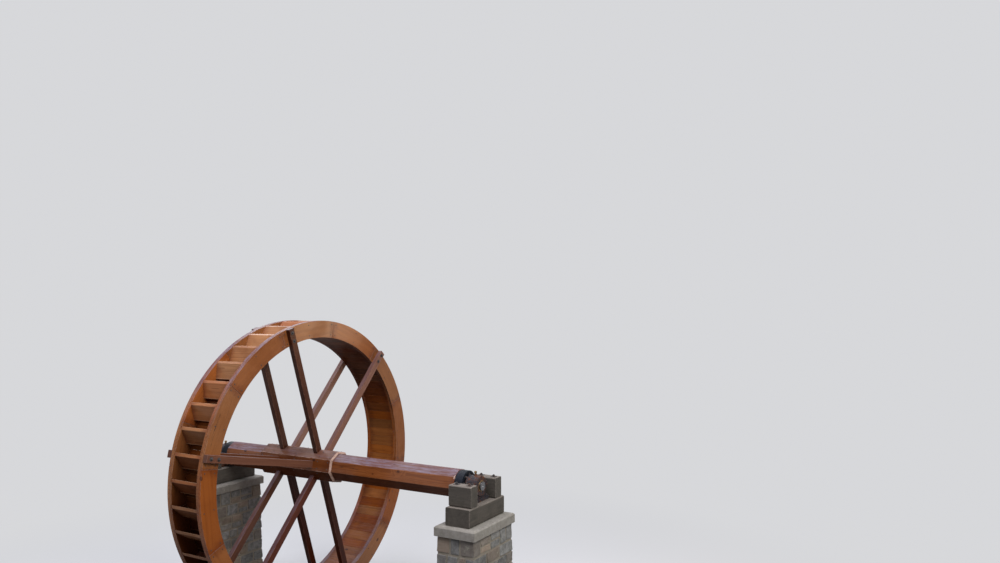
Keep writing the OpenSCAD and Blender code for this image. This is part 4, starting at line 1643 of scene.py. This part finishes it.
rubble_stone = stone_material("Rubble stone", (0.27, 0.265, 0.25), (0.12, 0.118, 0.112), (0.27, 0.20, 0.14))
dressed_stone = stone_material("Dressed stone", (0.33, 0.32, 0.295), (0.21, 0.20, 0.185),
                               (0.32, 0.28, 0.22), tooled=True)
lime_mortar = stone_material("Lime mortar", (0.36, 0.33, 0.28), (0.22, 0.20, 0.17), (0.30, 0.26, 0.20),
                             DARK_LICHEN, grit=1.4)
print("stones:", [each.name for each in (rubble_stone, dressed_stone, lime_mortar)])

# %% [markdown]
# A padstone is one dressed block on top of each pier. Its upper edges are chamfered so that water
# runs off. The faces are divided and roughened slightly, because hand-dressed stone is never flat.

# %% Padstones
PAD_CHAMFER = 0.018
PAD_EDGE = 0.004
PAD_STEP = 0.03
PAD_TONE = 0.5
DRESSED_DEPTH = 0.0025
DRESSED_CLOUDS = 0.12

for side in SIDES:
    low, high = corners(f"{side}_padstone")
    stone = boxed(f"{side}_pad", *zip(low, high))
    top = high[2]
    pick(stone, "EDGE", lambda middle, way: middle.z > top - AT_EDGE)
    chamfer_picked(PAD_CHAMFER)
    round_edges(stone, PAD_EDGE)
    divide(stone, low, high, PAD_STEP)
    roughen(stone, DRESSED_DEPTH, DRESSED_CLOUDS, seed=dice.uniform(0, 9))
    mark_faces(stone, "tone", PAD_TONE)
    place_piece(stone, BODY_OF_SUPPORTS, dressed_stone, "padstone", f"{side}_padstone")

# %% [markdown]
# The piers are coursed rubble: rows of rough stones, with larger ones, the quoins, at the corners.
# A quoin lies with its long side along one face in one course, and along the other face in the next,
# which ties the corner. The stones of a course are laid out by numbers first: a list of boxes.

# %% Laying out the stones of a pier
STONE_JOINT = 0.007
COURSE_HEIGHT = 0.155
LONG_QUOIN = (0.28, 0.36)
SHORT_QUOIN = (0.16, 0.20)
LONG_QUOIN_AROUND = (0.21, 0.25)
SHORT_QUOIN_AROUND = (0.14, 0.18)
STONE_DEPTH = (0.11, 0.15)
FRONT_STONE = 0.23
SIDE_STONE = 0.17
TALL_COURSE = 0.15
LOW_STONE = 0.08
SHARE_OF_LOW_STONES = 0.45
ROUGH_PIER_SIZE = (0.5255, 0.305, 1.6085)
mason = random.Random(23)


def split_length(low, high, usual):
    """Shares out a length between stones of about the usual size, with a joint between two."""
    count = max(1, round((high - low) / usual))
    shares = [mason.uniform(0.7, 1.3) for _ in range(count)]
    scale = (high - low - (count - 1) * STONE_JOINT) / sum(shares)
    spans = []
    for share in shares:
        spans.append((low, low + share * scale))
        low += share * scale + STONE_JOINT
    return spans


def from_face(face, depth):
    """The low and the high end of a stone that reaches in from the pier's face towards its middle."""
    return sorted((face, face - math.copysign(depth, face)))


def course_stones(number, half_x, half_y, z):
    """Boxes of one course, as three (low, high) pairs, around a centre at x = y = 0."""
    along_x = number % 2 == 0
    quoins = {}
    stones = []
    for sx in (-1, 1):
        for sy in (-1, 1):
            wide = mason.uniform(*(LONG_QUOIN if along_x else SHORT_QUOIN))
            deep = mason.uniform(*(SHORT_QUOIN_AROUND if along_x else LONG_QUOIN_AROUND))
            quoins[sx, sy] = (wide + STONE_JOINT, deep + STONE_JOINT)
            stones.append((from_face(sx * half_x, wide), from_face(sy * half_y, deep), z))
    for sy in (-1, 1):
        for span in split_length(quoins[-1, sy][0] - half_x, half_x - quoins[1, sy][0], FRONT_STONE):
            y = from_face(sy * half_y, mason.uniform(*STONE_DEPTH))
            low_stones = z[1] - z[0] > TALL_COURSE and mason.random() < SHARE_OF_LOW_STONES
            stones += [(span, y, row) for row in (split_length(*z, LOW_STONE) if low_stones else [z])]
    for sx in (-1, 1):
        for span in split_length(quoins[sx, -1][1] - half_y, half_y - quoins[sx, 1][1], SIDE_STONE):
            stones.append((from_face(sx * half_x, mason.uniform(*STONE_DEPTH)), span, z))
    return stones


def pier_stones(half_x, half_y, height):
    courses = split_length(0, height, COURSE_HEIGHT)
    return [stone for number, z in enumerate(courses) for stone in course_stones(number, half_x, half_y, z)]


print("one pier has about", len(pier_stones(*ROUGH_PIER_SIZE)), "stones")

# %% [markdown]
# Then all the stones of a pier are added as blocks in one mesh. Every corner is moved in by its own
# few millimetres, the pier's faces are leaned in towards the top, and all stones together are
# divided, rounded and roughened. The mortar is one plain block a little behind the stone faces.

# %% Building the piers
PIER_BATTER = 0.045
CORNER_WANDER = 0.009
STONE_CUTS = 4
STONE_ROUNDING = 0.013
STONE_RELIEF = 0.012
STONE_CLOUDS = 0.07
STONE_ANGLE = 60
MORTAR_BACK = 0.017
MORTAR_STEP = 0.05
MORTAR_RELIEF = 0.006
MORTAR_CLOUDS = 0.05
MORTAR_TONE = 0.4


def pier_size(side):
    """Half the pier's width and half its depth at the ground, and its height."""
    low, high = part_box(f"{side}_pier")
    return (high.x - low.x) / 2, (high.y - low.y) / 2, high.z


def lean_in(piece, centre_y, half_x, half_y, height):
    """Gives a straight block the pier's batter: the higher a point, the closer it is to the middle."""
    for point in piece.data.vertices:
        rise = min(max(point.co.z / height, 0), 1)
        point.co.x *= 1 - PIER_BATTER * rise / half_x
        point.co.y = centre_y + (point.co.y - centre_y) * (1 - PIER_BATTER * rise / half_y)


def loose_stones(name, stones):
    """All stones as blocks in one mesh, with every corner moved in by its own few millimetres."""
    rubble = boxed(name, *stones[0])
    pick_all(rubble)
    # Once it is emptied, all blocks join its mesh in the order of the list.
    bpy.ops.mesh.delete(type="VERT")
    for stone in stones:
        middle, size = middle_and_size(*stone)
        bpy.ops.mesh.primitive_cube_add(size=1, location=middle, scale=size)
    leave_edit_mode()
    for number, stone in enumerate(stones):
        middle, size = middle_and_size(*stone)
        for point in rubble.data.vertices[number * 8:number * 8 + 8]:
            for axis in range(3):
                inwards = -1 if point.co[axis] > middle[axis] else 1
                point.co[axis] += inwards * mason.uniform(0, CORNER_WANDER)
    mark_faces(rubble, "tone", np.repeat([mason.random() for _ in stones], 6))
    return rubble


def pier(side):
    size = half_x, half_y, height = pier_size(side)
    centre_y = sum(along_y(f"{side}_pier")) / 2
    rubble = loose_stones(f"{side}_pier_stones", pier_stones(*size))
    rubble.data.transform(Matrix.Translation((0, centre_y, 0)))
    lean_in(rubble, centre_y, *size)
    pick_all(rubble)
    bpy.ops.mesh.subdivide(number_cuts=STONE_CUTS)
    leave_edit_mode()
    round_edges(rubble, STONE_ROUNDING, angle=40)
    roughen(rubble, STONE_RELIEF, STONE_CLOUDS)
    place_piece(rubble, BODY_OF_SUPPORTS, rubble_stone, "masonry", f"{side}_pier", smooth_angle=STONE_ANGLE)
    triangles = sum(face.loop_total - 2 for face in rubble.data.polygons)
    print(rubble.name, triangles, "triangles")

    inner_x, inner_y = half_x - MORTAR_BACK, half_y - MORTAR_BACK
    low, high = (-inner_x, centre_y - inner_y, 0), (inner_x, centre_y + inner_y, height)
    core = boxed(f"{side}_pier_mortar", *zip(low, high))
    divide(core, low, high, MORTAR_STEP)
    lean_in(core, centre_y, *size)
    roughen(core, MORTAR_RELIEF, MORTAR_CLOUDS)
    mark_faces(core, "tone", MORTAR_TONE)
    place_piece(core, BODY_OF_SUPPORTS, lime_mortar, "masonry", smooth_angle=STONE_ANGLE)


for side in SIDES:
    pier(side)
remove(arm_nut, timber_nut, iron_nut, screw)

# %% [markdown]
# The floor and the background are plain and pale. The floor is a wide disc whose colour runs over
# into the background's colour with the distance, so that no edge shows. The pale floor and the pale
# background are seen by the camera and in reflections. All other rays meet a darker floor, which
# throws little light up at the wheel, and a weaker, slightly cool sky.

# %% Floor and sky
PALE = (0.68, 0.685, 0.705)
SKY = (0.86, 0.89, 1.0)
SKY_STRENGTH = 0.36
FLOOR_SEEN = (0.72, 0.725, 0.73)
FLOOR_UNSEEN = (0.12, 0.12, 0.12)
FLOOR_R = 40.0
FADE_START, FADE_END = 2.0, 9.0


def seen_rays(tree):
    """1 for the rays that show the background: the camera's, and those of gloss and of glass."""
    rays = add_node(tree, "LightPath")
    shiny = calc("MAXIMUM", rays["Is Glossy Ray"], rays["Is Transmission Ray"])
    return calc("MAXIMUM", rays["Is Camera Ray"], shiny)


def mix_shaders(tree, amount, first, second, output):
    """Ends a tree in two shaders, from the first where the amount is 0 to the second where it is 1."""
    add_node(tree, output, {"Surface": add_node(tree, "MixShader", {0: amount, 1: first, 2: second})[0]})


def pale_floor():
    select_only()
    bpy.ops.mesh.primitive_circle_add(vertices=96, radius=FLOOR_R, fill_type="NGON")
    floor = bpy.context.object
    floor.name = "floor"
    material, tree = new_material("Pale floor")
    far = add_node(tree, "VectorMath", {0: object_place(tree)}, operation="LENGTH")["Value"]
    seen = seen_rays(tree)
    matt = add_node(tree, "BsdfDiffuse", {"Color": blend(seen, FLOOR_UNSEEN, FLOOR_SEEN)})[0]
    glow = add_node(tree, "Emission", {"Color": PALE, "Strength": 1.0})[0]
    mix_shaders(tree, stretch(far, FADE_START, FADE_END) * seen, matt, glow, "OutputMaterial")
    floor.data.materials.append(material)


def sky():
    world = bpy.data.worlds.new("Sky")
    world.use_nodes = True
    tree = world.node_tree
    tree.nodes.clear()
    light = add_node(tree, "Background", {"Color": SKY, "Strength": SKY_STRENGTH})[0]
    pale = add_node(tree, "Background", {"Color": PALE, "Strength": 1.0})[0]
    mix_shaders(tree, seen_rays(tree), light, pale, "OutputWorld")
    bpy.context.scene.world = world


pale_floor()
sky()
print("floor and sky ready")

# %% [markdown]
# Four softboxes light the wheel. The key stands high in front on the left. The widest hangs overhead
# as the open sky, and one behind keeps the far side from going dark. A small, warm one on the right
# lifts the right half of the near shroud.

# %% Lamps
def softbox(name, place, aim, size, power, colour):
    lamp = bpy.data.lights.new(name, "AREA")
    lamp.shape = "RECTANGLE"
    lamp.size, lamp.size_y = size
    lamp.energy = power
    lamp.color = colour
    stand = bpy.data.objects.new(name, lamp)
    stand.location = place
    stand.rotation_euler = (Vector(aim) - Vector(place)).to_track_quat("-Z", "Y").to_euler()
    bpy.context.scene.collection.objects.link(stand)


HUB = AXLE + Vector((0, NEAR_FACE, 0))
softbox("key", (-2.5, -8.5, 8.0), HUB, (5.0, 4.0), 600, (1.0, 0.985, 0.95))
softbox("top", (-4.0, 0.3, 12.0), HUB, (9.0, 9.0), 900, (0.92, 0.90, 1.0))
softbox("back", (4.5, 6.5, 10.0), HUB, (6.0, 6.0), 380, (0.95, 0.97, 1.0))
softbox("side", (7.1, -6.0, 4.0), (0.3, NEAR_FACE, 4.0), (1.6, 1.2), 45, (1.0, 0.80, 0.56))
print("lamps ready")

# %% [markdown]
# The camera stands where the photograph was taken from: in front of the wheel on the left, a little
# above the axle, looking along the wheel's front. Its place was worked out from the wheel's outline.

# %% Camera
CAMERA_PLACE = (-8.152, -7.121, 4.344)
CAMERA_LOOK = (0.872, 0.489, 0.033)
FOCAL_PIXELS = 766.8
PHOTO_WIDTH = 1000

camera_data = bpy.data.cameras.new("camera")
camera_data.sensor_width = 36
camera_data.sensor_fit = "HORIZONTAL"
camera_data.lens = FOCAL_PIXELS / PHOTO_WIDTH * camera_data.sensor_width
camera = bpy.data.objects.new("camera", camera_data)
camera.location = CAMERA_PLACE
camera.rotation_euler = Vector(CAMERA_LOOK).to_track_quat("-Z", "Y").to_euler()
bpy.context.scene.collection.objects.link(camera)
bpy.context.scene.camera = camera
bpy.context.scene.view_settings.view_transform = "Standard"
print(f"lens {camera_data.lens:.2f} mm")
